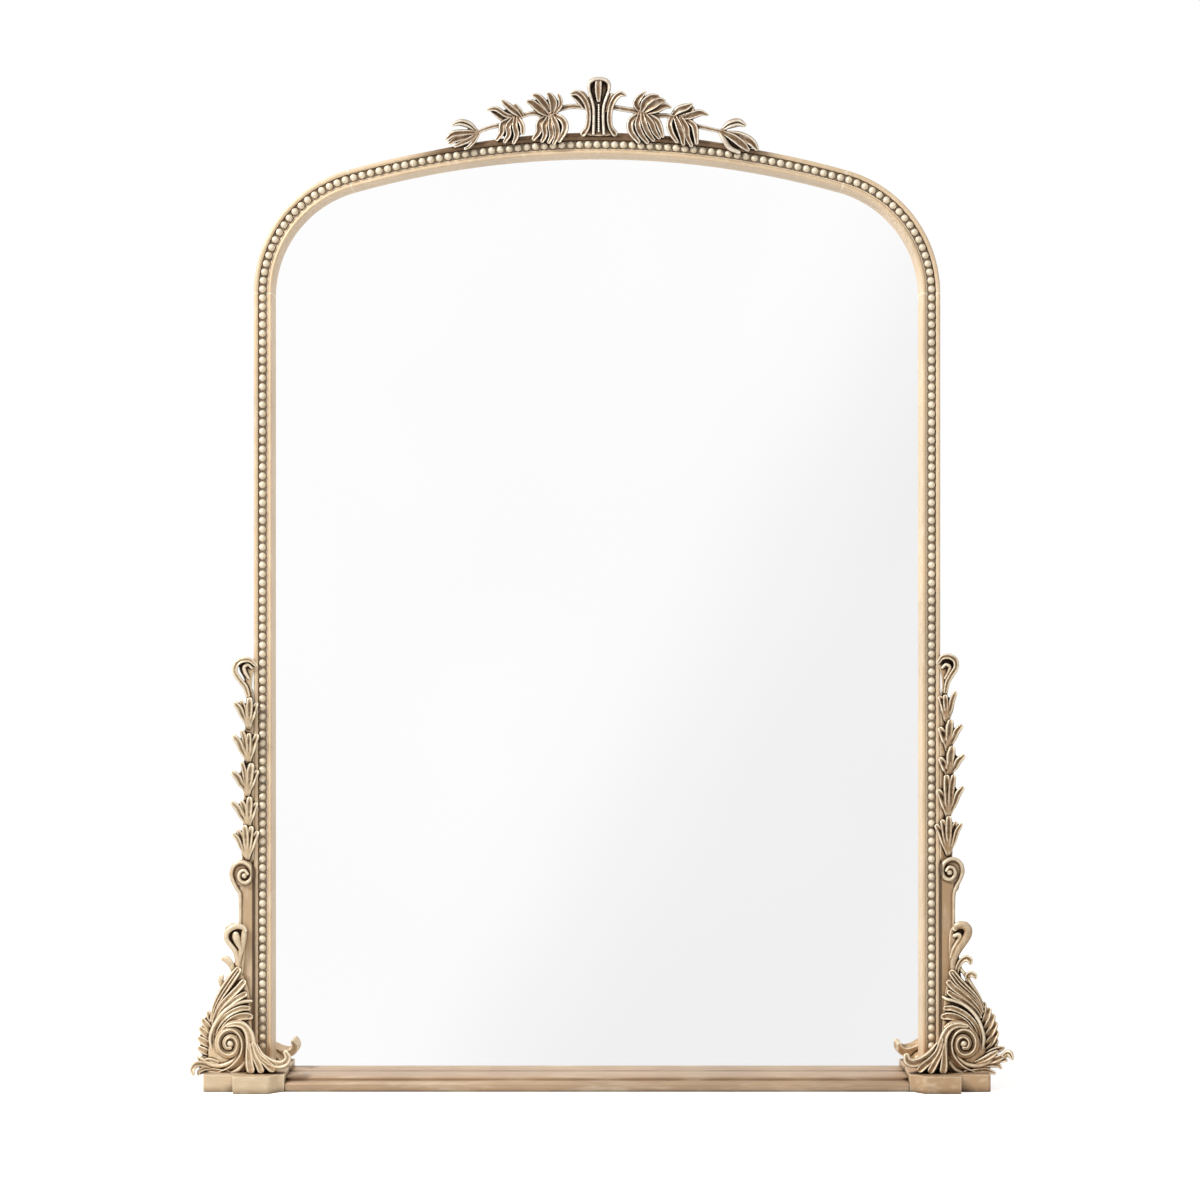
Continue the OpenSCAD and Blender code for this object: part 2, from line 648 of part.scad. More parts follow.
module base_rail() {
    step_y = frame_y - rail_step_d;
    top_y = frame_y - rail_top_d;
    step_bevel = 1.5;
    top_bevel = 1;
    color(gilt_dark)
        difference() {
            translate([-pedestal_x, 0, 0])
                rotate([90, 0, 90])
                    linear_extrude(2 * pedestal_x)
                        polygon([
                            [back_y, 0], [step_y, 0], [step_y, rail_step_h - step_bevel],
                            [step_y + step_bevel, rail_step_h], [top_y, rail_step_h],
                            [top_y, rail_h - top_bevel], [top_y + top_bevel, rail_h],
                            [glass_y, rail_h], [glass_y, rail_h - rebate_w],
                            [back_y, rail_h - rebate_w]
                        ]);
            for (side = [-1, 1]) on_side(side) rail_dowel_pair(dowel_d + 2 * hole_gap);
        }
}

// The bead strip's own section: across and forward, like the moulding
module strip_section() {
    translate([bead_u - strip_w / 2, frame_d - channel_deep]) square([strip_w, bead_strip_t]);
}

// One bead, given its middle across and up, just clear of the channel's floor
module bead(x, z) {
    translate([x, bead_top_y + bead_d / 2 - hole_gap, z]) sphere(d = bead_d, $fn = 24);
}

module right_beads_shape() {
    z0 = pedestal_h + bead_start;
    count = floor((shoulder_z - z0) / bead_pitch);
    step = (shoulder_z - z0) / count;
    color(gilt_pale) {
        up_stile(z0, shoulder_z) strip_section();
        for (i = [0 : count - 1]) bead(half + bead_u, z0 + step * (i + 0.5));
    }
}

module right_shoulder_beads_shape() {
    r = shoulder_r + bead_u;
    count = round(r * join_a * PI / 180 / bead_pitch);
    color(gilt_pale) {
        round_shoulder() strip_section();
        for (i = [0 : count - 1])
            let (a = join_a * (i + 0.5) / count)
            bead(shoulder_x + r * cos(a), shoulder_z + r * sin(a));
    }
}

module crown_beads() {
    r = crown_r + bead_u;
    span = 180 - 2 * join_a;
    count = round(r * span * PI / 180 / bead_pitch);
    color(gilt_pale) {
        round_crown() strip_section();
        for (i = [0 : count - 1])
            let (a = join_a + span * (i + 0.5) / count)
            bead(r * cos(a), crown_z + r * sin(a));
    }
}

// A pedestal screw stands upright with its sunk head in the pedestal's foot
module pedestal_screw_hole(x) {
    translate([x, pedestal_screw_y, -eps])
        cylinder(d = pedestal_screw_d + 2 * hole_gap, h = pedestal_screw_len + 1, $fn = 32);
}

module pedestal_screw(x) {
    translate([x, pedestal_screw_y, pedestal_screw_sunk]) {
        cylinder(d = pedestal_screw_d, h = pedestal_screw_len, $fn = 32);
        cylinder(d1 = 2 * pedestal_screw_d, d2 = pedestal_screw_d, h = pedestal_screw_d / 2, $fn = 32);
    }
}

module pedestal_screw_sink(x) {
    translate([x, pedestal_screw_y, -eps])
        cylinder(d = 2 * pedestal_screw_d + 2 * hole_gap, h = pedestal_screw_sunk + 2 * eps, $fn = 32);
    translate([x, pedestal_screw_y, pedestal_screw_sunk])
        cylinder(d1 = 2 * (pedestal_screw_d + hole_gap), d2 = pedestal_screw_d + 2 * hole_gap,
            h = pedestal_screw_d / 2, $fn = 32);
}

module right_pedestal_shape() {
    outer_x = half + pedestal_out;
    ogee_in = 1;
    break_in = 1;
    bevel = 2;
    corner_r = 3;
    ogee_x = pedestal_x + ogee_in;
    break_x = half + break_in;
    step_y = front_y + breakout_d;
    color(gilt)
        difference() {
            linear_extrude(pedestal_h)
                polygon(concat(
                    [[outer_x, wall_y], [pedestal_x, wall_y], [pedestal_x, step_y]],
                    [for (i = [0 : 6]) let (t = i / 6)
                        [ogee_x + (break_x - ogee_x) * t, front_y + breakout_d / 2 * (1 + cos(180 * t))]],
                    [[break_x + breakout_w, front_y], [break_x + breakout_w, step_y - bevel],
                        [break_x + breakout_w + bevel, step_y]],
                    [for (i = [0 : 6]) let (a = 15 * i)
                        [outer_x - corner_r * (1 - sin(a)), step_y + corner_r * (1 - cos(a))]]
                ));
            translate([pedestal_x - 1, glass_y, rail_h - rebate_w])
                cube([pedestal_in + rebate_w + 1, wall_y - glass_y + 1, pedestal_h]);
            for (x = pedestal_screw_places) {
                pedestal_screw_hole(x);
                pedestal_screw_sink(x);
            }
            rail_dowel_pair(dowel_d + 2 * hole_gap);
        }
}

// The two dowels between the base rail and the right pedestal
module rail_dowel_pair(d) {
    for (y = rail_dowel_places) bar_x([pedestal_x - dowel_len / 2, y, rail_dowel_z], d, dowel_len);
}

module right_pilaster_shape() {
    front = frame_y - pilaster_rise;
    color(gilt)
        difference() {
            union() {
                translate([out_x, frame_y + fillet_deep, pedestal_h])
                    cube([pilaster_w, back_y - frame_y - fillet_deep, volute_h]);
                translate([out_x + fillet_w, front, pedestal_h])
                    cube([pilaster_w - fillet_w, fillet_deep + pilaster_rise, volute_h]);
                intersection() {
                    slab(back_y, back_y - carving_y) translate([volute_x, volute_z]) circle(r = volute_r, $fn = 64);
                    translate([out_x, front_y, volute_z - 2 * volute_r])
                        cube([4 * volute_r, pedestal_d, 4 * volute_r]);
                }
                slab(carving_y + eps, carving_y - front + 1)
                    translate([volute_x, volute_z]) circle(r = volute_r, $fn = 64);
                slab(front, ridge_h)
                    ribbon(spiral([volute_x, volute_z], VOLUTE_SPAN, VOLUTE_TURN, VOLUTE_W, 32));
            }
            pedestal_screw_hole(pilaster_mid_x);
            bracket_dowel_pair(dowel_d + 2 * hole_gap);
        }
}

// The two dowels between the right pilaster and its bracket
module bracket_dowel_pair(d) {
    for (z = bracket_dowel_heights)
        bar_x([out_x + pilaster_w - bracket_dowel_in, bracket_dowel_y, z], d, dowel_len - bracket_dowel_in);
}

// Moves a carving drawn at its own height to a place, scaled to the named height
module drawn(x, z, named, drawn_size) {
    translate([x, 0, z]) scale(named / drawn_size) children();
}

// What the stile, the pilaster and the pedestal take up near the carvings
module behind_carvings() {
    translate([0, carving_y, -1]) cube([out_x, pedestal_d, 2 * arch_top]);
    translate([0, frame_y - pilaster_rise, -1])
        cube([out_x + pilaster_w, pedestal_d, 1 + pedestal_h + volute_h]);
    translate([0, front_y - 1, -1]) cube([half + pedestal_out + 40, pedestal_d + 2, 1 + pedestal_h]);
}

module right_scroll_bracket_shape() {
    k = bracket_h / BRACKET_DRAWN;
    front = frame_y - bracket_rise;
    scroll = spiral(SCROLL_EYE, SCROLL_SPAN, SCROLL_TURN, SCROLL_W, 44);
    color(gilt_pale)
        difference() {
            drawn(out_x, pedestal_h, bracket_h, BRACKET_DRAWN) {
                relief(concat(BRACKET_FANS, BRACKET_EDGE), (front + bracket_d) / k, front / k, BRACKET_BODY);
                slab((front + bracket_d) / k, (bracket_d - ridge_h) / k)
                    translate(SCROLL_EYE) circle(r = SCROLL_DISC_R, $fn = 64);
                slab((front + ridge_h) / k + eps, (ridge_h + spiral_rise) / k) ribbon(scroll);
            }
            behind_carvings();
            bracket_dowel_pair(dowel_d + 2 * hole_gap);
        }
}

module right_foot_leaf_shape() {
    k = foot_leaf_h / FOOT_LEAF_DRAWN;
    scroll_front = frame_y - bracket_rise - spiral_rise;
    lap = 4;
    color(gilt_pale)
        difference() {
            drawn(out_x, pedestal_h, foot_leaf_h, FOOT_LEAF_DRAWN)
                relief(FOOT_LEAF, carving_y / k, (scroll_front - foot_leaf_rise) / k);
            behind_carvings();
            translate([out_x - lap, scroll_front - carving_gap, 0])
                cube([lap + 2 * foot_leaf_h, pedestal_d, 2 * bracket_h]);
        }
}

module right_husk_drop_shape() {
    k = drop_h / DROP_DRAWN;
    rise = 9;
    seat = 6;
    strip_back = 1;
    color(gilt_pale)
        difference() {
            union() {
                translate([out_x, frame_y + strip_back, strip_z])
                    cube([HUSK_STRIP_W * k, drop_strip_t, stem_h + drop_h]);
                translate([out_x + STEM_IN * k, frame_y - pilaster_rise, strip_z])
                    cube([STEM_W * k, pilaster_rise + seat, stem_h + STEM_LAP * k]);
                drawn(out_x, drop_z, drop_h, DROP_DRAWN)
                    relief(HUSKS, (frame_y + seat) / k, (frame_y - rise) / k);
            }
            behind_carvings();
        }
}

module right_drop_scroll_shape() {
    k = loop_h / LOOP_DRAWN;
    foot = drop_z + drop_h;
    rise = 8;
    color(gilt_pale)
        difference() {
            drawn(out_x, foot, loop_h, LOOP_DRAWN)
                relief(DROP_SCROLL, (frame_y + rise) / k, (frame_y - rise) / k);
            behind_carvings();
            translate([out_x - drop_h, -pedestal_d, 0]) cube([2 * drop_h, 2 * pedestal_d, foot]);
        }
}

// The space taken up by the arch and the crest rail
module below_crest(y) {
    intersection() {
        translate([0, back_y + 1, crown_z])
            rotate([90, 0, 0]) cylinder(r = arch_out_r, h = back_y + 1 - y, $fn = 256);
        translate([-half, -pedestal_d, shoulder_z]) cube([sight_w, 2 * pedestal_d, 2 * crest_half]);
    }
    intersection() {
        translate([0, back_y + 1, crest_z - crest_r])
            rotate([90, 0, 0]) cylinder(r = crest_r, h = back_y + 1 - y, $fn = 256);
        translate([-crest_half, -pedestal_d, crest_end_z])
            cube([2 * crest_half, 2 * pedestal_d, 2 * crest_half]);
    }
}

module crest_rail() {
    end_cut = 4;
    color(gilt_dark)
        difference() {
            intersection() {
                translate([0, back_y, crest_z - crest_r])
                    rotate([90, 0, 0]) cylinder(r = crest_r, h = frame_d - 2, $fn = 256);
                translate([end_cut - crest_half, -pedestal_d, crest_end_z])
                    cube([2 * (crest_half - end_cut), 2 * pedestal_d, 2 * crest_half]);
            }
            translate([0, back_y + 1, crown_z])
                rotate([90, 0, 0]) cylinder(r = arch_out_r, h = frame_d, $fn = 256);
            crest_pin_set(pin_d + 2 * hole_gap);
        }
}

// Pins stand across the seat between the crest rail and the leafwork
module crest_pin_set(d) {
    for (p = crest_pin_places)
        let (seat = crest_z - crest_r + sqrt(pow(crest_r, 2) - pow(p.x, 2)))
        translate([p.x, crest_pin_y, seat - crest_pin_sunk])
            cylinder(d = d, h = crest_pin_sunk + p.y, $fn = 24);
}

module crest_piece(list, named, drawn_size, front, body = []) {
    k = named / drawn_size;
    color(gilt_dark)
        difference() {
            drawn(0, crest_z, named, drawn_size)
                relief(list, (frame_y + spray_d) / k, front / k, body);
            below_crest(carving_y);
            crest_pin_set(pin_d + 2 * hole_gap);
        }
}

module crest_palmette() {
    crest_piece(PALMETTE, palmette_h, PALMETTE_DRAWN, frame_y - palmette_rise, PALMETTE_BODY);
}

module crest_left_spray() {
    difference() {
        crest_piece(LEFT_SPRAY, spray_w, SPRAY_DRAWN, frame_y - spray_rise);
        crest_palmette();
    }
}

module crest_right_spray() {
    difference() {
        crest_piece(RIGHT_SPRAY, spray_w, SPRAY_DRAWN, frame_y - spray_rise);
        crest_palmette();
    }
}

// A thin plate across the seam between the stile and the arch
module right_shoulder_plate_shape() {
    color(steel)
        difference() {
            translate([land_x - plate_w / 2, back_y, shoulder_z - plate_len / 2])
                cube([plate_w, plate_t, plate_len * (0.5 + plate_above)]);
            for (s = plate_screw_shares)
                bar_y([land_x, back_y - 1, shoulder_z + s * plate_screw_step], screw_d + 2 * hole_gap, plate_t + 2);
        }
}

module shoulder_plate_screws() {
    color(steel)
        for (side = [-1, 1], s = plate_screw_shares)
            on_side(side) small_screw([land_x, back_y + plate_t, shoulder_z + s * plate_screw_step]);
}

module crown_seam_plates() {
    color(steel)
        for (side = [-1, 1])
            on_side(side)
                difference() {
                    translate([seam_place(0).x, back_y, seam_place(0).y])
                        rotate([0, 90 - join_a, 0])
                            translate([-seam_plate_len / 2, 0, -plate_w / 2])
                                cube([seam_plate_len, plate_t, plate_w]);
                    for (s = seam_screw_shares)
                        bar_y([seam_place(s).x, back_y - 1, seam_place(s).y], screw_d + 2 * hole_gap, plate_t + 2);
                }
}

module crown_seam_screws() {
    color(steel)
        for (side = [-1, 1], s = seam_screw_shares)
            on_side(side) small_screw([seam_place(s).x, back_y + plate_t, seam_place(s).y]);
}

module crest_pins() {
    color(steel) crest_pin_set(pin_d);
}

module pedestal_screws() {
    color(steel)
        for (side = [-1, 1], x = pedestal_screw_places) on_side(side) pedestal_screw(x);
}

module rail_dowels() {
    color([0.8, 0.68, 0.5])
        for (side = [-1, 1]) on_side(side) rail_dowel_pair(dowel_d);
}

module bracket_dowels() {
    color([0.8, 0.68, 0.5])
        for (side = [-1, 1]) on_side(side) bracket_dowel_pair(dowel_d);
}

// A turn button with its screw hole at the origin, its long end toward +X
module button_shape() {
    tail = button_w / 2;
    difference() {
        union() {
            cylinder(d = button_w, h = button_t, $fn = 48);
            translate([0, -button_w / 2, 0]) cube([button_len - 2 * tail, button_w, button_t]);
            translate([button_len - 2 * tail, 0, 0]) cylinder(d = button_w, h = button_t, $fn = 48);
        }
        translate([0, 0, -1]) cylinder(d = screw_d + 2 * turn_fit, h = button_t + 2, $fn = 48);
    }
}

all_buttons = concat(button_places, crown_button_places);

module turn_button(i) {
    p = all_buttons[i - 1];
    color(steel)
        translate([p.x, back_y + button_gap, p.y])
            rotate([-90, 0, 0])
                rotate([0, 0, p.z]) button_shape();
}

module turn_button_screws() {
    lift = 2 * button_gap + button_t;
    color(steel)
        for (p = all_buttons)
            translate([p.x, back_y, p.y]) {
                bar_y([0, -screw_len, 0], screw_d, screw_len + lift + eps);
                bar_y([0, lift, 0], screw_head_d, screw_head_h);
            }
}

// The D-ring's bar lies here behind the frame
ring_y = back_y + strap_t + ring_gap + ring_wire_d / 2;
curl_r = ring_wire_d / 2 + ring_fit;

module right_hanger_strap_shape() {
    color(steel)
        difference() {
            union() {
                translate([land_x - strap_w / 2, back_y, hanger_z - strap_len])
                    cube([strap_w, strap_t, strap_len]);
                bar_x([land_x - strap_w / 2, ring_y, hanger_z], 2 * (curl_r + strap_t), strap_w);
                translate([land_x - strap_w / 2, back_y, hanger_z - curl_r - strap_t])
                    cube([strap_w, ring_y - back_y, curl_r + strap_t]);
            }
            bar_x([land_x - strap_w, ring_y, hanger_z], 2 * curl_r, 2 * strap_w);
            for (d = [strap_hole_1, strap_hole_2])
                bar_y([land_x, back_y - 1, hanger_z - d], screw_d + 2 * hole_gap, strap_t + 2);
        }
}

module hanger_screws() {
    color(steel)
        for (side = [-1, 1], d = [strap_hole_1, strap_hole_2])
            on_side(side) small_screw([land_x, back_y + strap_t, hanger_z - d]);
}

// A ring of wire: a straight bar at the top, two legs and a round bow below
module right_d_ring_shape() {
    bow_r = (ring_in_w + ring_wire_d) / 2;
    leg = ring_len - bow_r;
    color(steel)
        translate([land_x, ring_y, hanger_z]) {
            bar_x([-bow_r, 0, 0], ring_wire_d, 2 * bow_r);
            for (x = [-bow_r, bow_r]) {
                translate([x, 0, 0]) sphere(d = ring_wire_d, $fn = 32);
                translate([x, 0, -leg]) cylinder(d = ring_wire_d, h = leg, $fn = 32);
            }
            translate([0, 0, -leg])
                rotate([90, 0, 0])
                    rotate([0, 0, 180])
                        rotate_extrude(angle = 180, $fn = 64) translate([bow_r, 0]) circle(d = ring_wire_d, $fn = 32);
        }
}

module wall_bumpers() {
    color([0.2, 0.2, 0.2])
        for (p = bumper_places) bar_y([p.x, back_y, p.y], bumper_d, bumper_t);
}

mirror_glass();
backing_board();
on_side(-1) right_stile_shape();  // left_stile
right_stile_shape();  // right_stile
on_side(-1) right_arch_shoulder_shape();  // left_arch_shoulder
right_arch_shoulder_shape();  // right_arch_shoulder
arch_crown();
base_rail();
on_side(-1) right_beads_shape();  // left_stile_beads
right_beads_shape();  // right_stile_beads
on_side(-1) right_shoulder_beads_shape();  // left_shoulder_beads
right_shoulder_beads_shape();  // right_shoulder_beads
crown_beads();
on_side(-1) right_pedestal_shape();  // left_pedestal
right_pedestal_shape();  // right_pedestal
on_side(-1) right_pilaster_shape();  // left_pilaster
right_pilaster_shape();  // right_pilaster
on_side(-1) right_scroll_bracket_shape();  // left_scroll_bracket
right_scroll_bracket_shape();  // right_scroll_bracket
on_side(-1) right_foot_leaf_shape();  // left_foot_leaf
right_foot_leaf_shape();  // right_foot_leaf
on_side(-1) right_husk_drop_shape();  // left_husk_drop
right_husk_drop_shape();  // right_husk_drop
on_side(-1) right_drop_scroll_shape();  // left_drop_scroll
right_drop_scroll_shape();  // right_drop_scroll
crest_rail();
crest_palmette();
crest_left_spray();
crest_right_spray();
on_side(-1) right_shoulder_plate_shape();  // left_shoulder_plate
right_shoulder_plate_shape();  // right_shoulder_plate
shoulder_plate_screws();
crown_seam_plates();
crown_seam_screws();
crest_pins();
pedestal_screws();
rail_dowels();
bracket_dowels();
turn_button(1);  // turn_button_1
turn_button(2);  // turn_button_2
turn_button(3);  // turn_button_3
turn_button(4);  // turn_button_4
turn_button(5);  // turn_button_5
turn_button(6);  // turn_button_6
turn_button(7);  // turn_button_7
turn_button(8);  // turn_button_8
turn_button_screws();
on_side(-1) right_hanger_strap_shape();  // left_hanger_strap
right_hanger_strap_shape();  // right_hanger_strap
hanger_screws();
on_side(-1) right_d_ring_shape();  // left_d_ring
right_d_ring_shape();  // right_d_ring
wall_bumpers();
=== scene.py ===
"""Looks of an arched overmantel mirror with a beaded gilt frame, scroll brackets and a leafy crest."""

import json
import math

import bmesh
import bpy
import numpy as np
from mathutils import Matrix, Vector


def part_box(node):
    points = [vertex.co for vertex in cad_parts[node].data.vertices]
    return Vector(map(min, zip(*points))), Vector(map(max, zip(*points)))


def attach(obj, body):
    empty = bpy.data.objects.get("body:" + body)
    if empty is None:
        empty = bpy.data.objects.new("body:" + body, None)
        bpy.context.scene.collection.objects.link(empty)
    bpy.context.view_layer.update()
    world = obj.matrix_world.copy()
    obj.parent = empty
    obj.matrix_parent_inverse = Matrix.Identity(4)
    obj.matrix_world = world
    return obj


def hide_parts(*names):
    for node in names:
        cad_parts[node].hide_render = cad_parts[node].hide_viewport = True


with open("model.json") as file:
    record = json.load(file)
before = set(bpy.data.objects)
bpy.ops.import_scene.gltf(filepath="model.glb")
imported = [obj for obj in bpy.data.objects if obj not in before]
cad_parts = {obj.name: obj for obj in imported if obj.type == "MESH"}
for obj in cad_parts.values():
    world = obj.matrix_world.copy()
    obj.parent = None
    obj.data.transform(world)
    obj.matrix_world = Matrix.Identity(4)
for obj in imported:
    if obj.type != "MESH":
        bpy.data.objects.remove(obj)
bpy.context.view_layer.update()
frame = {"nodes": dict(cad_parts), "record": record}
NODES = frame["nodes"]

MM = 0.001
RIGHT = 1
LEFT = -1

# How far the camera stands in front of the moulding, and the place of its eye, in mm
CAMERA_D = 2300.0
EYE_X = 2.7
EYE_Z = 435.2
LENS = 77.0
MOULDING_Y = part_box("right_stile")[0].y / MM
# Height of the camera's axis on the drawing grid, and where a side's and the crest's drawings start on it
GRID_EYE_Z = 442.0
SIDE_X = 300.0
CREST_Z = 850.0

# Cross-sections of a stroke: share of the half width, and share of the crown's height
SECTIONS = {
    "round": ((0, 1), (0.3, 0.96), (0.5, 0.87), (0.7, 0.71), (0.85, 0.53), (0.95, 0.31), (1, 0.05)),
    "flute": ((0, 0.68), (0.25, 0.74), (0.45, 0.9), (0.62, 1), (0.76, 0.93), (0.9, 0.6), (1, 0.05)),
    "hollow": ((0, 0.6), (0.3, 0.65), (0.5, 0.8), (0.67, 1), (0.77, 0.95), (0.9, 0.58), (1, 0.05)),
    "sharp": ((0, 1), (0.12, 0.93), (0.28, 0.69), (0.48, 0.42), (0.7, 0.21), (0.9, 0.09), (1, 0.02)),
    "vein": ((0, 0.45), (0.12, 0.72), (0.28, 0.96), (0.5, 1), (0.75, 0.82), (0.9, 0.5), (1, 0.05)),
}
# Shares of a stroke's half width at which its back has points
BACK_SHARES = (0.85, 0, -0.85)
# Steps round a stroke's rounded ends, and the share of its height that it loses there
END_STEPS = (0.3, 0.55, 0.75, 0.9, 0.98)
END_DROP = 0.7
# A stroke this thick, in mm, reaches back to the clay's base, and none is thinner than this skin
DEEP = 40.0
SKIN = 0.3
# Shares of a body's outline at which its dome is drawn
DOME_SHARES = (0.9, 0.75, 0.55, 0.3, 0.05)
# Angles in degrees of a small bead's rings, and the points of a ring
BEAD_ANGLES = np.linspace(-88, 88, 9)
BEAD_POINTS = 12

VOXEL = 0.4
# A cast skin is smoothed by these steps in and out, several times
SMOOTHING = (0.6, -0.62) * 3
# Rounds of averaging that show a skin's fine and its wide hollows
FINE_ROUNDS = 6
WIDE_ROUNDS = 48
# Each mark on a skin: the shares of its fine and its wide hollows, and what is added
# The ridge mark makes ridges pale, partly as rubbed wear and partly as painted highlight. The hollow mark
# makes hollows dark, partly as antiquing glaze and partly as painted shade
MARKS = {"ridge": (-1.3, -0.2, -0.16), "hollow": (1.5, 0.36, -0.05)}


def spline(rows, steps=6):
    """A smooth curve through rows of any width."""
    p = np.array(rows, float)
    q = np.vstack([2 * p[0] - p[1], p, 2 * p[-1] - p[-2]])
    out = []
    for i in range(len(p) - 1):
        a, b, c, d = q[i : i + 4]
        for t in np.arange(steps) / steps:
            square = (2 * a - 5 * b + 4 * c - d) * t * t
            cube = (3 * b - a - 3 * c + d) * t**3
            out.append((2 * b + (c - a) * t + square + cube) / 2)
    return np.array(out + [p[-1]])


class Clay:
    """Closed strokes and bodies that become one carved piece, in mm. Rise is measured forward from base_y."""

    def __init__(self, base_y, side=RIGHT, origin=(SIDE_X, 0)):
        self.base_y = base_y
        self.side = side
        self.origin = origin
        self.verts = []
        self.faces = []

    def place(self, x, z, rise):
        """A point of the drawing grid at its own depth in the frame."""
        k = 1 + (MOULDING_Y - self.base_y + rise) / CAMERA_D
        x += self.origin[0]
        z += self.origin[1]
        return (self.side * x / k, self.base_y - rise, EYE_Z + (z - GRID_EYE_Z) / k)

    def add_rings(self, rings):
        """A closed tube through rings with the same number of points."""
        start = len(self.verts)
        count = len(rings[0])
        for ring in rings:
            self.verts.extend(ring)
        for i in range(len(rings) - 1):
            for j in range(count):
                a = start + i * count + j
                b = start + i * count + (j + 1) % count
                self.faces.append((a, b, b + count, a + count))
        self.faces.append(tuple(range(start + count - 1, start - 1, -1)))
        last = start + (len(rings) - 1) * count
        self.faces.append(tuple(range(last, last + count)))

    def stroke(self, rows, kind="flute", crown=0.45, thick=DEEP):
        """A ridge along rows of across, up, width and rise."""
        path = spline(rows)
        step = np.gradient(path[:, :2], axis=0)
        step /= np.maximum(np.linalg.norm(step, axis=1), 1e-9)[:, None]
        stations = [(path[0], step[0], -s) for s in reversed(END_STEPS)]
        stations += [(p, d, 0.0) for p, d in zip(path, step)]
        stations += [(path[-1], step[-1], s) for s in END_STEPS]
        half = SECTIONS[kind]
        shape = [(-u, h) for u, h in reversed(half[1:])] + list(half)
        rings = []
        for (x, z, width, rise), (dx, dz), s in stations:
            left = math.sqrt(1 - s * s)
            x += dx * s * width / 2
            z += dz * s * width / 2
            lift = crown * width
            top = rise - lift * (1 - left) * END_DROP
            back = max(0.0, rise - thick)
            ring = []
            for u, h in shape:
                v = u * left * width / 2
                height = max(top - lift * (1 - h) * left, back + SKIN)
                ring.append(self.place(x - dz * v, z + dx * v, height))
            for u in BACK_SHARES:
                v = u * left * width / 2
                ring.append(self.place(x - dz * v, z + dx * v, back))
            rings.append(ring)
        self.add_rings(rings)

    def strokes(self, entries):
        for entry in entries:
            self.stroke(*entry)

    def body(self, outline, edge, middle, back=0.0):
        """A domed block inside an outline that its own centre can see all of."""
        p = np.array(outline, float)
        p = np.vstack([p, p[:1]])
        fine = spline(p, 4)[:-1]
        centre = fine.mean(axis=0)
        levels = [(0.98, back), (1, back + 0.6), (1, edge - 0.8), (0.97, edge - 0.2)]
        levels += [(share, middle + (edge - middle) * share**2) for share in DOME_SHARES]
        self.add_rings([
            [self.place(*(centre + share * (q - centre)), rise) for q in fine] for share, rise in levels
        ])

    def bodies(self, entries):
        for entry in entries:
            self.body(*entry)

    def block(self, x0, x1, z0, z1, y0, y1):
        """A plain block given by its true sides."""
        corners = [(x0, z0), (x1, z0), (x1, z1), (x0, z1)]
        self.add_rings([[(self.side * x, y, z) for x, z in corners] for y in (y1, y0)])

    def ball(self, x, z, rise, radius):
        """A small bead."""
        turns = np.linspace(0, 2 * math.pi, BEAD_POINTS, endpoint=False)
        rings = []
        for a in np.radians(BEAD_ANGLES):
            r = radius * math.cos(a)
            height = rise + radius * math.sin(a)
            rings.append([self.place(x + r * math.cos(b), z + r * math.sin(b), height) for b in turns])
        self.add_rings(rings)


def average(values, one, two, degree):
    """Each vertex's mean over its neighbours."""
    out = np.empty_like(values)
    for k in range(values.shape[1]):
        total = np.bincount(one, values[two, k], len(values)) + np.bincount(two, values[one, k], len(values))
        out[:, k] = total / degree
    return out


def add_piece(name, mesh, material, node):
    """A piece that rides on the frame and stands for a node."""
    mesh.materials.clear()
    mesh.materials.append(material)
    piece = bpy.data.objects.new(name, mesh)
    bpy.context.scene.collection.objects.link(piece)
    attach(piece, "frame")
    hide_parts(node)


def cast(clay, name, material, node):
    """Fuses the clay into one skin and smooths it. Marks its hollows, for dark glaze and painted shade, and
    its ridges, for rubbed wear and painted highlight.
    """
    rough = bpy.data.meshes.new(name + ".rough")
    rough.from_pydata([[c * MM for c in v] for v in clay.verts], [], clay.faces)
    holder = bpy.data.objects.new(name + ".rough", rough)
    bpy.context.scene.collection.objects.link(holder)
    remesh = holder.modifiers.new("skin", "REMESH")
    remesh.mode = "VOXEL"
    remesh.voxel_size = VOXEL * MM
    shown = holder.evaluated_get(bpy.context.evaluated_depsgraph_get())
    mesh = bpy.data.meshes.new_from_object(shown)
    bpy.data.objects.remove(holder)
    mesh.name = name

    count = len(mesh.vertices)
    edges = np.empty(len(mesh.edges) * 2, np.int32)
    mesh.edges.foreach_get("vertices", edges)
    one, two = edges[0::2], edges[1::2]
    degree = np.maximum(np.bincount(one, minlength=count) + np.bincount(two, minlength=count), 1)
    co = np.empty(count * 3)
    mesh.vertices.foreach_get("co", co)
    co = co.reshape(-1, 3)
    for factor in SMOOTHING:
        co += factor * (average(co, one, two, degree) - co)
    mesh.vertices.foreach_set("co", co.ravel())
    mesh.update()
    normals = np.empty(count * 3)
    mesh.vertices.foreach_get("normal", normals)
    normals = normals.reshape(-1, 3)

    softer = co.copy()
    depths = {}
    for done in range(1, WIDE_ROUNDS + 1):
        softer = average(softer, one, two, degree)
        if done in (FINE_ROUNDS, WIDE_ROUNDS):
            depths[done] = np.einsum("ij,ij->i", softer - co, normals) / (VOXEL * MM)
    for label, (fine, wide, more) in MARKS.items():
        values = fine * depths[FINE_ROUNDS] + wide * depths[WIDE_ROUNDS] + more
        attribute = mesh.attributes.new(label, "FLOAT", "POINT")
        attribute.data.foreach_set("value", np.clip(values, 0, 1).astype(np.float32))
    mesh.shade_smooth()
    add_piece(name, mesh, material, node)


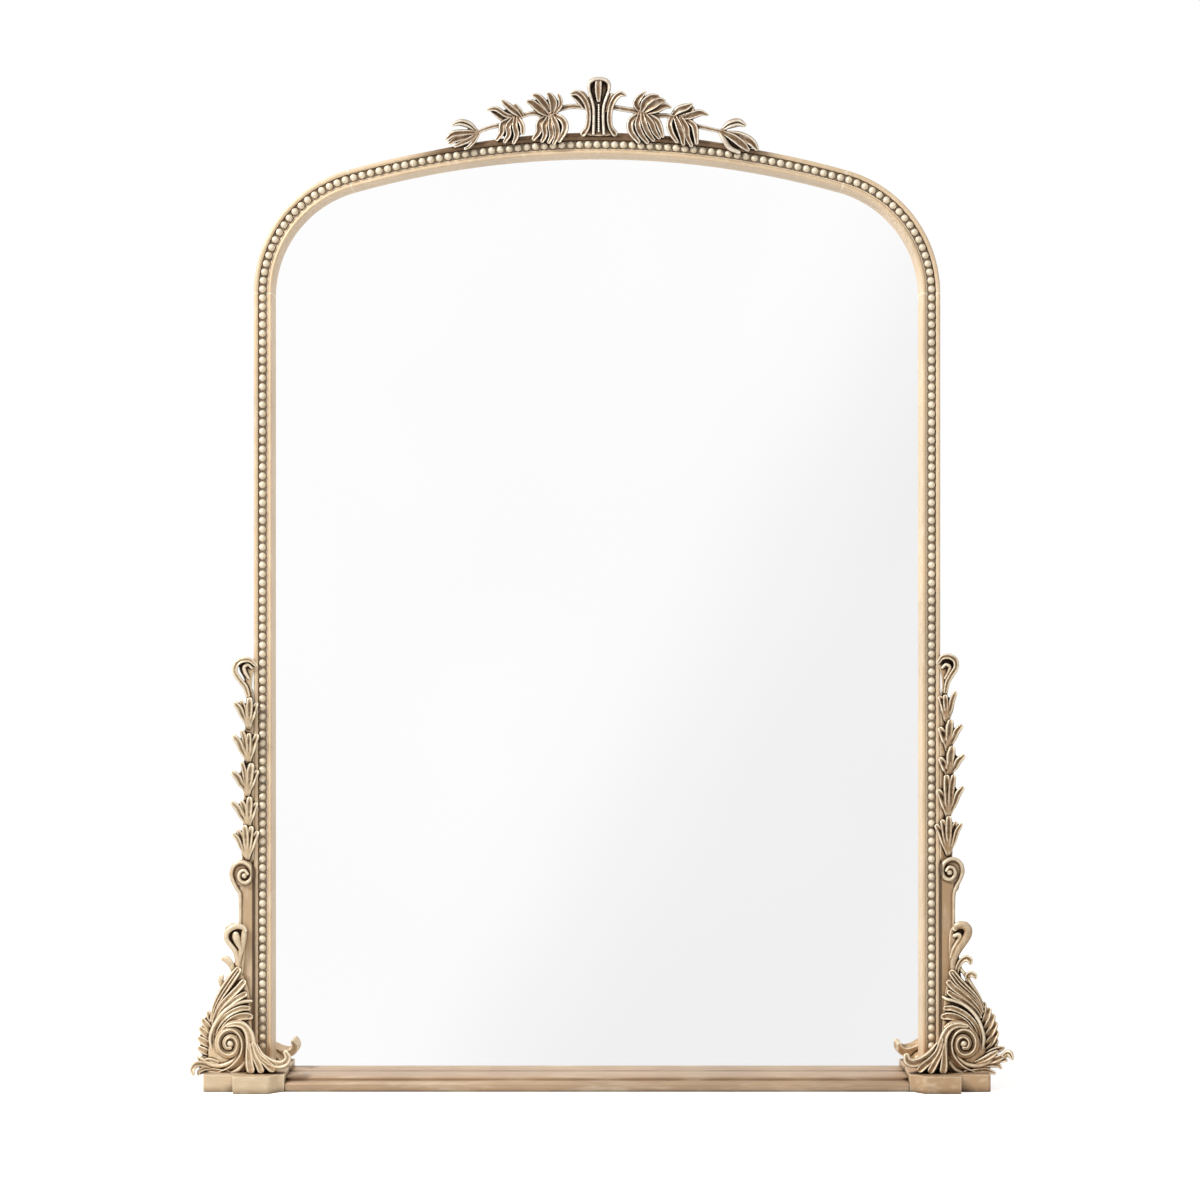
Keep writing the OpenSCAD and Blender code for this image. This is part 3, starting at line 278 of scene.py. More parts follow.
class Tree:
    """Builds a material's or the world's node tree with short calls."""

    def __init__(self, tree):
        self.tree = tree
        tree.nodes.clear()

    def add(self, kind, **settings):
        node = self.tree.nodes.new("ShaderNode" + kind)
        for key, value in settings.items():
            setattr(node, key, value)
        return node

    def put(self, socket, value):
        """Links an output, or sets a plain value."""
        if isinstance(value, bpy.types.NodeSocket):
            self.tree.links.new(value, socket)
        else:
            socket.default_value = value

    def math(self, operation, a, b=0.0, clamp=False):
        node = self.add("Math", operation=operation, use_clamp=clamp)
        self.put(node.inputs[0], a)
        self.put(node.inputs[1], b)
        return node.outputs[0]

    def times(self, a, b, clamp=False):
        return self.math("MULTIPLY", a, b, clamp)

    def blend(self, factor, a, b):
        node = self.add("Mix", data_type="RGBA")
        self.put(node.inputs["Factor"], factor)
        self.put(node.inputs[6], a)
        self.put(node.inputs[7], b)
        return node.outputs[2]

    def mix(self, factor, a, b):
        """A shader between the outputs of two others."""
        node = self.add("MixShader")
        for socket, out in zip(node.inputs, (factor, a, b)):
            self.put(socket, out)
        return node.outputs[0]

    def noise(self, scale, detail=3.0, stretch=(1, 1, 1), roughness=0.5, coordinates=None):
        node = self.add("TexNoise")
        for key, value in (("Scale", scale), ("Detail", detail), ("Roughness", roughness)):
            node.inputs[key].default_value = value
        mapping = self.add("Mapping")
        mapping.inputs["Scale"].default_value = stretch
        self.put(mapping.inputs["Vector"], coordinates or self.coordinates())
        self.put(node.inputs["Vector"], mapping.outputs[0])
        return node.outputs[0]

    def coordinates(self, kind="Object"):
        return self.add("TexCoord").outputs[kind]

    def split(self, vector):
        """The three parts of a vector."""
        node = self.add("SeparateXYZ")
        self.put(node.inputs[0], vector)
        return node.outputs[:]

    def span(self, value, low, high, to_low=0.0, to_high=1.0):
        node = self.add("MapRange", clamp=True, interpolation_type="SMOOTHSTEP")
        self.put(node.inputs["Value"], value)
        for key, number in (("From Min", low), ("From Max", high), ("To Min", to_low), ("To Max", to_high)):
            node.inputs[key].default_value = number
        return node.outputs[0]

    def attribute(self, name):
        return self.add("Attribute", attribute_name=name).outputs["Fac"]

    def shade(self, distance, inside=False):
        """How open a place is, from 0 in a deep hollow to 1."""
        node = self.add("AmbientOcclusion", samples=8, inside=inside)
        node.inputs["Distance"].default_value = distance
        return node.outputs["AO"]


def material(name):
    made = bpy.data.materials.new(name)
    made.use_nodes = True
    return made, Tree(made.node_tree)


def srgb(red, green, blue):
    """A linear colour from sRGB values of 0 to 255."""
    def line(c):
        c /= 255
        return c / 12.92 if c <= 0.04045 else ((c + 0.055) / 1.055) ** 2.4

    return (line(red), line(green), line(blue), 1.0)


def surface(n, colour, roughness, metallic=0.0, height=None, bump=0.0, bump_distance=0.0, specular=0.5):
    """The Principled shader and its output."""
    shader = n.add("BsdfPrincipled")
    n.put(shader.inputs["Base Color"], colour)
    n.put(shader.inputs["Roughness"], roughness)
    n.put(shader.inputs["Metallic"], metallic)
    shader.inputs["Specular IOR Level"].default_value = specular
    if height is not None:
        node = n.add("Bump")
        node.inputs["Strength"].default_value = bump
        node.inputs["Distance"].default_value = bump_distance
        n.put(node.inputs["Height"], height)
        n.put(shader.inputs["Normal"], node.outputs[0])
    out = n.add("OutputMaterial")
    n.put(out.inputs[0], shader.outputs[0])


# The crown's centre, its outer land, and how far to each side that land is painted dark as shade, in mm
CROWN_Z = 25.0
CROWN_LAND_R = 821.5
CROWN_SHADE_START = 135.0
CROWN_SHADE_END = 175.0
# The painted shade thins out between these depths behind the moulding's front, in mm
SHADE_FRONT = 3.0
SHADE_BACK = 6.0
# The face of a pilaster starts here, beside a dark groove
GROOVE_X = 308.3
# Noise scales of the gilding's clouds, mottling and grain
CLOUDS = 14
MOTTLING = 170
GRAIN = 1100
# How strongly closed places (painted shade), hollows (antiquing glaze and painted shade) and the painted
# shade of the crown and the grooves take the dark colour
SHADE_WASH = 0.8
HOLLOW_GLAZE_AND_SHADE = 0.9
PAINTED_SHADE_STRENGTH = 0.85


def crown_painted_shade(n, at):
    """Where shade is painted dark on the crown's outer land, under the leafwork."""
    across, depth, height = n.split(at)
    up = n.math("SUBTRACT", height, CROWN_Z * MM)
    square = n.math("ADD", n.times(across, across), n.times(up, up))
    land = n.span(n.math("SQRT", square), (CROWN_LAND_R - 0.7) * MM, (CROWN_LAND_R + 0.3) * MM)
    near = n.span(n.math("ABSOLUTE", across), CROWN_SHADE_END * MM, CROWN_SHADE_START * MM)
    front = n.span(depth, (MOULDING_Y + SHADE_BACK) * MM, (MOULDING_Y + SHADE_FRONT) * MM)
    return n.times(n.times(land, near), front)


def groove_painted_shade(n, at):
    """Where shade is painted dark in the groove between a stile and its pilaster."""
    across = n.math("ABSOLUTE", n.split(at)[0])
    return n.span(across, (GROOVE_X + 0.5) * MM, GROOVE_X * MM)


def gilt(name, base, pale, deep, carved=False, stretch=(1, 1, 1), glaze_and_shade_gain=1.0, glow=1.0, painted_shade=None, reach=0.003):
    """Antique gilding on a tan ground. Ridges and edges are pale, partly as rubbed wear and partly as painted
    highlight. Hollows are dark, partly as antiquing glaze and partly as painted shade.
    """
    made, n = material(name)
    base, pale, deep = srgb(*base), srgb(*pale), srgb(*deep)
    at = n.coordinates()
    cloud = n.noise(CLOUDS, 3, coordinates=at)
    mottle = n.noise(MOTTLING, 4, stretch, 0.6, at)
    grain = n.noise(GRAIN, 2, stretch, 0.6, at)
    colour = n.blend(n.span(cloud, 0.35, 0.7), base, [c * 0.86 for c in base[:3]] + [1])
    colour = n.blend(n.span(mottle, 0.45, 0.75, 0, 0.3), colour, pale)
    # Pale marks: a carving's ridges and a moulding's convex edges, pale partly as rubbed wear and partly as
    # painted highlight
    if carved:
        worn = n.attribute("ridge")
        hollow = n.attribute("hollow")
        open_share = n.shade(0.006)
    else:
        worn = n.span(n.shade(0.0014, True), 0.85, 0.45)
        hollow = n.math("SUBTRACT", 1.0, n.span(n.shade(0.0012), 0.2, 0.7))
        open_share = n.shade(reach)
    worn = n.times(worn, glow)
    patchy = n.times(worn, n.span(grain, 0.25, 0.6, 0.7, 1.1), clamp=True)
    colour = n.blend(patchy, colour, pale)
    # Dark colour: painted shade where the AO finds a place closed in, and antiquing glaze with painted shade
    # in the hollows
    closed = n.math("SUBTRACT", 1.0, n.span(open_share, 0.12, 0.8))
    glaze_and_shade = n.math("ADD", n.times(closed, SHADE_WASH), n.times(hollow, HOLLOW_GLAZE_AND_SHADE))
    glaze_and_shade = n.times(glaze_and_shade, n.span(mottle, 0.2, 0.65, 1.1, 0.8))
    glaze_and_shade = n.times(glaze_and_shade, glaze_and_shade_gain, clamp=True)
    colour = n.blend(glaze_and_shade, colour, deep)
    # Painted shade on the crown's land under the leafwork and in the grooves beside the stiles
    if painted_shade:
        colour = n.blend(n.times(painted_shade(n, at), PAINTED_SHADE_STRENGTH), colour, deep)
    roughness = n.math("ADD", 0.33, n.times(glaze_and_shade, 0.3))
    roughness = n.math("ADD", roughness, n.times(mottle, 0.14))
    metallic = n.times(n.math("SUBTRACT", 1.0, glaze_and_shade), 0.3)
    height = n.math("ADD", n.times(mottle, 0.7), n.times(grain, 0.3))
    surface(n, colour, roughness, metallic, height, 0.35, 0.00025, specular=0.2)
    return made


CREAM = (254, 242, 216)
# The gilding's patterns are drawn out along a stile
UPRIGHT = (1, 1, 0.3)
FRAME_GILT = gilt("frame_gilt", (232, 205, 170), CREAM, (118, 80, 46), stretch=UPRIGHT, glaze_and_shade_gain=0.75)
# The crown's copy has a darker dark colour, and painted shade on its outer land under the leafwork
CROWN_GILT = gilt("crown_gilt", (232, 205, 170), CREAM, (100, 70, 42), stretch=UPRIGHT, glaze_and_shade_gain=0.75,
                  painted_shade=crown_painted_shade)
BEAD_GILT = gilt("bead_gilt", (244, 228, 200), (255, 250, 234), (112, 74, 40), glaze_and_shade_gain=1.4)
# The crest rail has a dark brown ground: painted shade for the band under the crest's leafwork
CREST_RAIL_SHADED_GILT = gilt("crest_rail_shaded_gilt", (126, 98, 74), (190, 164, 134), (44, 30, 20), glaze_and_shade_gain=1.3)
# The base rail and the pedestals reach further with their painted shade, which darkens the corners of their
# steps and the places round the leaf feet
BASE_GILT = gilt("base_gilt", (192, 162, 132), CREAM, (52, 34, 20), stretch=(0.12, 1, 1), glaze_and_shade_gain=1.7,
                 reach=0.007)
PEDESTAL_LOOK = {"stretch": (0.5, 1, 1), "glaze_and_shade_gain": 1.7, "reach": 0.012}
# Each pilaster carries painted shade in the groove beside its stile
PILASTER_LOOK = {"carved": True, "stretch": (1, 1, 0.2), "painted_shade": groove_painted_shade}
# Painted light and shade: the left copy is paler and the right copy darker, as if lit by a key light from the
# left
PEDESTAL_GILT = {
    RIGHT: gilt("right_pedestal_shaded_gilt", (198, 164, 127), CREAM, (60, 40, 24), **PEDESTAL_LOOK),
    LEFT: gilt("left_pedestal_lit_gilt", (226, 200, 165), CREAM, (84, 58, 36), **PEDESTAL_LOOK),
}
# Painted light and shade: the left copy is paler and the right copy darker
PILASTER_GILT = {
    RIGHT: gilt("right_pilaster_shaded_gilt", (192, 159, 122), CREAM, (64, 42, 24), **PILASTER_LOOK),
    LEFT: gilt("left_pilaster_lit_gilt", (206, 176, 140), CREAM, (84, 58, 36), **PILASTER_LOOK),
}
# Painted light and shade: the left copy is paler and the right copy darker
CARVED_GILT = {
    RIGHT: gilt("right_carving_shaded_gilt", (186, 152, 113), CREAM, (50, 30, 14), True, glaze_and_shade_gain=1.25, glow=1.3),
    LEFT: gilt("left_carving_lit_gilt", (224, 196, 159), CREAM, (76, 50, 28), True, glaze_and_shade_gain=1.15, glow=1.3),
}
# Painted light and shade: the left copy is paler and the right copy darker
DROP_GILT = {
    RIGHT: gilt("right_drop_shaded_gilt", (178, 144, 106), CREAM, (44, 26, 12), True, glaze_and_shade_gain=1.7, glow=1.3),
    LEFT: gilt("left_drop_lit_gilt", (218, 190, 152), CREAM, (62, 40, 22), True, glaze_and_shade_gain=1.5, glow=1.3),
}
CREST_GILT = gilt("crest_carving_gilt", (160, 128, 96), (253, 244, 226), (44, 28, 16), True, glaze_and_shade_gain=1.35,
                  glow=1.3)


def mirror_material():
    made, n = material("silvered_glass")
    haze = n.noise(3, 2)
    colour = n.blend(n.span(haze, 0.3, 0.7), (0.97, 0.97, 0.97, 1), (0.985, 0.985, 0.985, 1))
    surface(n, colour, n.times(haze, 0.02), 1.0)
    return made


def steel_material():
    made, n = material("zinc_plate")
    at = n.coordinates()
    brush = n.noise(900, 2, (1, 1, 0.1), 0.5, at)
    spangle = n.noise(260, 3, coordinates=at)
    colour = n.blend(n.span(spangle, 0.3, 0.7), srgb(186, 184, 176), srgb(206, 204, 198))
    # Painted shade: the steel is darkened where the AO finds it closed in
    corner_shade = n.math("SUBTRACT", 1.0, n.span(n.shade(0.002), 0.3, 0.8))
    colour = n.blend(corner_shade, colour, srgb(96, 88, 78))
    roughness = n.math("ADD", 0.28, n.times(brush, 0.2))
    surface(n, colour, roughness, 0.9, brush, 0.1, 0.00005)
    return made


def grained(name, noise, tones, first, second, roughness, bump, patches=None):
    """A plain material: two tones of one fine grain, which also roughens its face, and patches of a third."""
    made, n = material(name)
    at = n.coordinates()
    grain = n.noise(*noise, coordinates=at)
    colour = n.blend(n.span(grain, *tones), srgb(*first), srgb(*second))
    if patches:
        colour = n.blend(n.span(n.noise(9, 3, coordinates=at), 0.4, 0.75, 0, 0.4), colour, srgb(*patches))
    surface(n, colour, roughness, 0.0, grain, *bump)
    return made


BY_SLOT = {
    "mirror": mirror_material(),
    "board": grained("hardboard", (700, 4, (1, 1, 0.5), 0.7), (0.3, 0.7), (112, 78, 52), (142, 102, 70), 0.72,
                     (0.4, 0.0003), (96, 66, 44)),
    "gilt_wood": FRAME_GILT,
    "beads": BEAD_GILT,
    "ornament": CARVED_GILT[RIGHT],
    "crest_leaf": CREST_GILT,
    "steel": steel_material(),
    "bumper": grained("bumper_rubber", (900, 3), (0.45, 0.8, 0, 0.5), (32, 31, 30), (66, 63, 60), 0.78,
                      (0.3, 0.0002)),
    "dowel": grained("beech", (500, 3, (0.08, 1, 1)), (0.3, 0.7), (214, 184, 144), (190, 154, 112), 0.6,
                     (0.2, 0.0001)),
}
OWN = {
    "arch_crown": CROWN_GILT,
    "base_rail": BASE_GILT,
    "crest_rail": CREST_RAIL_SHADED_GILT,
    "left_pedestal": PEDESTAL_GILT[LEFT],
    "right_pedestal": PEDESTAL_GILT[RIGHT],
}
for part in frame["record"]["subparts"]:
    for place in NODES[part["node"]].material_slots:
        place.material = OWN.get(part["node"], BY_SLOT[part["material_slot"]])

# A stroke: rows of across, up, width and rise, then its section, its height as a share of its width and its
# thickness. A body: points of across and up, then the rise of its edge, middle and back
BRACKET_BODIES = [
    ([(12, 16), (50, 16), (50, 30), (50, 45), (48, 60), (44, 74), (36, 88), (28, 100), (20, 108), (14, 100),
      (11, 86), (10, 70), (9, 55), (8, 35)], 13, 16.5),
    ([(17, 108), (26, 104), (24, 112), (22, 120), (25, 131), (31, 140), (33, 149), (28, 153), (21, 152),
      (16, 146), (15, 128)], 12.5, 14),
    ([(13, 24), (20, 17.5), (38, 17.5), (47, 28), (47, 45), (42, 58), (30, 63), (18, 60),
      (12, 45)], 19, 22.4),
    ([(44, 74), (50, 70), (54, 60), (55.5, 48), (53, 38), (44, 36), (40, 55)], 12.5, 14, 3),
]
RIGHT_FAN = [
    [(45.2, 74, 2.6, 17), (41.6, 82.6, 4.2, 18.4), (37, 88.4, 6, 19.2), (31, 94, 7.6, 19.6),
     (24.2, 100.6, 8.4, 19.2), (18.6, 108, 7.4, 17.6)],
    [(44, 72, 2.4, 17.6), (39.8, 78, 3.6, 19), (33.4, 84.6, 5, 20), (26, 90.4, 5.8, 20.2),
     (19.6, 95.4, 6.2, 19.4), (15.6, 99.6, 6, 17.6)],
    [(43.6, 69, 2.2, 18), (39.2, 75, 3.2, 19.4), (32.8, 80.6, 4.4, 20.2), (25.6, 84.8, 5, 20.2),
     (19.4, 88.2, 5.4, 19.4), (15.6, 91, 5, 17.6)],
]
LEFT_FAN = [
    [(45.2, 66, 3, 17.5), (42.6, 77, 5, 18.8), (38, 86.6, 7.2, 19.6), (32.4, 95.6, 8.6, 19.8),
     (26.6, 104, 8.6, 19.4), (22, 110.4, 7.4, 17.6)],
    [(43.8, 63, 2.6, 18), (40.6, 72.6, 4.2, 19.6), (34.8, 81, 5.6, 20.4), (27.4, 88.6, 6.2, 20.2),
     (20.6, 95.4, 6.4, 19.4), (17, 99.8, 6.2, 17.8)],
    [(42.6, 60, 2.4, 18.5), (39.2, 69, 3.6, 19.8), (33.4, 76.6, 4.8, 20.4), (26.6, 82.6, 5.4, 20.2),
     (20, 87, 5.8, 19.4), (15.6, 89.4, 5.4, 17.6)],
]
# The rib along the fan's first lobe: its share of the lobe's width, and how far it stands out
RIB_SHARE = 0.34
RIB_RISE = 0.2
# Second leaf, spiral from its tail on the pedestal round to the eye, the curl round it, and the foot's curls
BRACKET_STROKES = [
    ([(43, 46, 3, 20), (42, 54.6, 3.8, 20.8), (38.6, 62.6, 4.6, 21.2), (32.6, 69.4, 5, 21.4),
      (25.8, 74, 5.2, 21), (18.4, 76.8, 5.2, 19.8), (12.4, 77, 4.6, 17.6)], "hollow", 0.44),
    ([(39, 44, 3, 20.5), (38, 51.6, 4, 21), (34.4, 59, 5.2, 21.4), (28.6, 65, 6.6, 21), (21.4, 68.8, 7.6, 20),
      (14.6, 69.8, 7.6, 18.6), (11, 69.4, 6.2, 17)], "hollow", 0.44),
    ([(38, 20, 5.4, 22.1), (30.5, 23.2, 6.2, 23.6), (23.8, 28.8, 6.6, 24.6), (19, 36.2, 7, 25.1),
      (17.8, 44.8, 7, 25.6), (19.8, 51.8, 6.8, 25.6), (24.2, 56.4, 6.6, 25.8), (29.3, 57.6, 6.6, 26),
      (34.6, 55.6, 6.4, 26.1), (38.1, 51, 6.2, 26.1), (39.2, 45.4, 6, 26.2), (37.7, 39.8, 5.8, 26.3),
      (33.8, 36.2, 5.7, 26.4), (29, 35.2, 5.6, 26.6), (24.9, 37.2, 5.5, 26.6), (22.5, 41.5, 5.4, 26.6),
      (22.5, 46.3, 5.3, 26.8), (25, 50.1, 5.2, 27), (28.8, 51, 5, 27), (32, 48.9, 4.8, 27),
      (33.1, 45.3, 4.6, 27), (31.6, 42, 4.4, 27), (28.8, 41.6, 4, 27)], "sharp", 0.62),
    ([(12, 60, 3, 21), (17, 63.4, 3.6, 22.5), (23.5, 64.4, 3.8, 23.2), (30, 62.6, 3.8, 23.6),
      (35.6, 58, 3.8, 23.6), (39.8, 51, 3.6, 23.2), (41.4, 43.5, 3.4, 22.6), (40, 36.5, 3.2, 21.8),
      (35.5, 31.6, 3, 21)], "sharp", 0.8),
    ([(20.8, 40, 2.2, 22.5), (22.4, 34, 3, 23), (27.4, 29, 3.4, 23.4), (34, 26, 3.8, 23.4), (42, 25.4, 4, 23),
      (50, 28.4, 3.8, 22.5), (55.4, 33, 3.4, 22.5)], "round", 0.55),
    ([(30, 19.5, 4, 22), (40, 20.6, 5, 22), (49, 21.2, 5, 21), (55.6, 19, 3.4, 20)],),
    ([(16, 28, 4, 21), (21, 22, 4.4, 22), (27.6, 18.6, 3.8, 21.5)], "round", 0.5),
]
SPIRAL_EYE = (28.6, 45, 23.4, 3.4)
# Outer leaf, long edge, side curls and hook
RIGHT_STROKES = [
    ([(44.5, 68, 4, 15), (45.8, 75, 6, 16.5), (46.6, 80.4, 4.6, 15)], "hollow", 0.4, 10),
    ([(45, 61, 5, 15), (48.6, 68.5, 7.4, 16.5), (50.8, 75, 5.4, 15)], "hollow", 0.4, 10),
    ([(45.5, 54, 6, 15), (50.8, 62, 8.4, 16.5), (54.2, 69.2, 6, 15)], "hollow", 0.4, 10),
    ([(46, 47, 6, 15), (52, 55, 8.8, 16.5), (56.2, 62, 6.4, 15)], "hollow", 0.4, 10),
    ([(46, 40, 6, 15), (52.4, 47.4, 8.8, 16.5), (57, 54.4, 6.4, 15)], "hollow", 0.4, 10),
    ([(45.5, 33.5, 6, 15), (52, 40.4, 8.4, 16.5), (56.8, 47, 6, 15)], "hollow", 0.4, 10),
    ([(9.8, 87, 2.2, 16), (13.4, 85, 2.8, 18), (20, 83.6, 3, 19.5), (28, 80.4, 3.2, 21), (35, 75, 3.2, 22),
      (40.6, 68, 3.2, 22.5), (44.6, 59, 3, 22.5), (46.4, 50, 2.8, 22), (45.2, 41, 2.6, 20.5)], "round", 0.6),
    ([(46, 78, 2.4, 16), (42.6, 86, 3.2, 17), (36.4, 96.6, 3.6, 17), (30.6, 105.6, 3.4, 16.5),
      (26, 112, 3, 15.5), (23, 118, 2.6, 15)], "round", 0.5),
    ([(46, 34, 4, 18), (54, 38, 6, 18.5), (61, 40.6, 5.6, 18), (63.6, 41.2, 3.4, 17.5)], "flute", 0.45, 10),
    ([(40, 28.5, 4, 22), (47, 31.2, 6, 23), (53.6, 35, 6.2, 24), (57.6, 37.6, 4, 24)], "flute", 0.45, 9),
    ([(47, 28, 5, 20.5), (56, 30.6, 6.6, 23), (63.6, 34, 5.4, 27), (67.2, 35.4, 5, 29)], "flute", 0.45, 9),
    ([(64, 34.6, 4, 28), (66.6, 36.6, 6, 30), (69.2, 36.4, 6.6, 32), (71, 33.6, 4.8, 33),
      (71.8, 31.6, 3, 33.5)], "vein", 0.45, 9),
    ([(56, 29.4, 4, 22), (62, 30.4, 4.6, 24), (66.2, 30, 3, 26)], "flute", 0.45, 8),
    ([(44, 25.6, 4, 21), (52, 26.4, 5.4, 21.5), (59, 25.8, 4.6, 22),
      (61.6, 23.4, 2.8, 22)], "flute", 0.45, 10),
    ([(21.6, 106, 3.4, 15), (23, 113, 4.6, 16), (26.2, 119, 5.4, 18), (30.6, 121.6, 6.2, 19.5),
      (34, 119.8, 6, 20.5), (34.4, 117.8, 4.2, 20.5)], "flute", 0.5, 10),
    ([(37, 94, 3, 15), (32.6, 101, 4.2, 16), (31.8, 105.4, 5.4, 18), (34.6, 107.6, 6, 20),
      (38, 106.4, 5.2, 21), (38.8, 104.4, 3.6, 21)], "flute", 0.5, 10),
    ([(19, 111, 5, 15), (19.8, 120.5, 6, 16.5), (23.2, 128.6, 6.6, 18), (28, 135.8, 7.2, 19),
      (32, 142.4, 7.4, 20), (32.2, 148, 7.6, 20.5), (28.4, 151.4, 7.6, 20), (23.4, 151, 6.8, 19),
      (20.6, 148.4, 5.2, 17.5)], "round", 0.42),
    ([(17.2, 123, 3, 15.5), (19.4, 129.6, 4, 16.6), (22.6, 135, 4.4, 17.4), (25.2, 139.4, 4.4, 18),
      (24, 142.6, 4.4, 18), (20.2, 141.8, 3.4, 17.2)], "round", 0.5),
]
LEFT_STROKES = [
    ([(44.5, 64, 5, 15), (46.8, 69.4, 6, 16), (48.2, 72.8, 4, 15)], "hollow", 0.4, 10),
    ([(45, 57, 5, 15), (50, 62.4, 6.8, 16), (52.4, 66, 4.6, 15)], "hollow", 0.4, 10),
    ([(45, 50, 5.5, 15), (51, 54.8, 7.4, 16), (54.6, 58.4, 5, 15)], "hollow", 0.4, 10),
    ([(45, 43, 5.5, 15), (51.6, 46.8, 7.6, 16), (55.8, 49.8, 5, 15)], "hollow", 0.4, 10),
    ([(45, 36, 5.5, 15), (51.6, 38.6, 7.4, 16), (55.8, 41, 5, 15)], "hollow", 0.4, 10),
    ([(44.5, 29.5, 5.5, 15), (51.4, 30.8, 7, 16), (56.2, 32.6, 4.8, 15)], "hollow", 0.4, 10),
    ([(9.6, 83.4, 2.6, 16.5), (16.9, 82.8, 3.4, 18.4), (24.8, 80.2, 3.6, 20.2), (32.6, 75, 3.6, 21.6),
      (39.2, 67.6, 3.4, 22.4), (44.2, 58.6, 3, 22.5), (46.4, 50, 2.8, 22),
      (45.2, 41, 2.6, 20.5)], "round", 0.6),
    ([(40, 28.5, 4, 22), (47, 30, 5.4, 22), (54, 28.4, 5.4, 21.5)], "flute", 0.45, 9),
    ([(46, 24.5, 4.4, 21), (54, 27, 5.6, 24), (59.6, 26, 6.4, 28), (62.4, 22, 5.4, 31),
      (61.4, 18, 3.4, 32)], "flute", 0.45, 9),
    ([(45, 22.5, 4, 21), (51, 23, 4.6, 22.5), (56, 20.6, 4, 26), (57, 17.6, 2.6, 27)], "flute", 0.45, 9),
    ([(25.6, 110, 4, 15), (28, 116.4, 6, 16.5), (31.4, 120.4, 7, 17),
      (34.8, 121.6, 5, 16.5)], "round", 0.34, 9),
    ([(33.4, 95, 4, 15), (36, 98.6, 5, 16), (37, 102.4, 5.2, 17),
      (35.6, 105.6, 4.4, 17.4)], "round", 0.36, 10),
    ([(21.4, 114, 5, 15), (22, 121, 4.8, 16), (24.4, 128.4, 4.4, 17.4), (28.6, 133.8, 4.4, 18.4),
      (31.8, 139, 4.6, 19), (31.4, 144.6, 5, 19.5), (27.6, 148.6, 5.2, 19.5), (22, 150.4, 5.2, 19.2),
      (17, 149.2, 4.6, 18.6), (14.8, 146.6, 3.4, 18)], "round", 0.42),
    ([(21.8, 117, 5, 15.5), (20.4, 123.6, 5.4, 16), (18.4, 130.4, 5.6, 16.4), (16.6, 138.6, 5.4, 17),
      (15.8, 145.6, 4.6, 17.6)], "round", 0.42),
    ([(19.2, 130.4, 3, 17), (21.4, 135.4, 5.6, 18), (23, 140, 7, 18.6),
      (23.4, 142.6, 6.2, 18.4)], "round", 0.4),
]
FOOT_BODY = ([(13, 58), (14, 44), (14, 30), (11, 25), (1, 24), (-6, 26.6), (-1, 34), (4, 43),
              (8, 52)], 24, 26.4, 9)
# Trunk, lobes and inner curl
RIGHT_FOOT = [
    ([(31, 61, 3.4, 24.4), (23, 61.6, 5, 24.8), (16, 58.8, 6.6, 25.4), (11.2, 52, 7.6, 26.4),
      (9.6, 44, 8, 27.4), (9.2, 36, 6.6, 27.8)], "flute", 0.4, 14),
    ([(8.4, 49, 4, 27), (5.4, 39, 5, 28.6), (-0.6, 31, 6.4, 30), (-6.6, 26, 7.4, 31),
      (-10, 22.6, 7.2, 31.4)], "hollow", 0.42, 22),
    ([(9.6, 44, 4, 27.6), (6.8, 35.4, 4.8, 29), (2.8, 27.6, 6, 30.4),
      (-0.6, 21.6, 6.8, 31.6)], "hollow", 0.42, 22),
    ([(11.2, 43, 4, 27.4), (11, 34, 5.2, 29), (10.8, 27, 6.8, 30.6),
      (10.2, 21.4, 7, 31.6)], "hollow", 0.42, 22),
    ([(5, 44, 5, 26), (-1, 36, 7.4, 29), (-8.6, 30.2, 8.6, 30.5), (-16, 27.8, 8.8, 31.6),
      (-21.4, 29.6, 8, 32), (-22.8, 34, 5.4, 32)], "flute", 0.42, 13),
]
LEFT_FOOT = [
    ([(31, 61.4, 3.4, 24.4), (23, 62.6, 5, 24.8), (16, 60.6, 6.8, 25.4), (11.4, 54, 8.4, 26.4),
      (9.8, 45, 9.4, 27.4), (8.8, 37, 8, 27.8)], "flute", 0.4, 14),
    ([(7.4, 45, 4, 27.6), (3.4, 35.6, 5.4, 29.2), (-2.6, 29, 7.4, 30.6),
      (-8.6, 23.4, 8.4, 31.4)], "hollow", 0.42, 22),
    ([(9.4, 43, 4, 27.6), (7, 34, 5, 29.2), (3.6, 27.4, 6.2, 30.6),
      (1, 21.6, 6.6, 31.6)], "hollow", 0.42, 22),
    ([(12, 44, 4.4, 27.4), (11.8, 34.6, 6, 29), (11, 27.4, 7.6, 30.6),
      (10, 22, 8, 31.4)], "hollow", 0.42, 22),
    ([(5, 43, 4, 26.6), (0.6, 34.6, 6, 29), (-6.6, 29, 7.4, 30.5), (-14.4, 26.4, 7.6, 31.6),
      (-20.6, 28, 7.4, 32), (-23.2, 32.6, 6.4, 32), (-21.4, 37, 4.6, 31.6)], "flute", 0.42, 13),
]
# How far behind the moulding's front a drop and its scroll start, in mm
DROP_BACK = 6
SCROLL_BACK = 8
DROP_STRIP = ([(7, 209), (18, 209), (16.5, 250), (16, 300), (14.5, 345), (13, 362), (8, 362), (7.5, 345),
               (7, 300), (7, 250)], 5.5, 6.5)
# Half widths of a husk's cup at its neck, bulge and top, and how far it reaches below its foot, in mm
HUSK_NECK = 2.4
HUSK_BULGE = 6.6
HUSK_TOP = 2
HUSK_DIP = 3
# A lobe's path: shares of its lean and its climb, mm more to climb, and share of its width
LOBE_PATH = [(0.08, 0, -3.5, 0.46), (0.26, 0, 2, 0.62), (0.48, 0.36, 0, 0.84), (0.7, 0.72, 0, 1),
             (1, 0.96, 0, 0.8)]
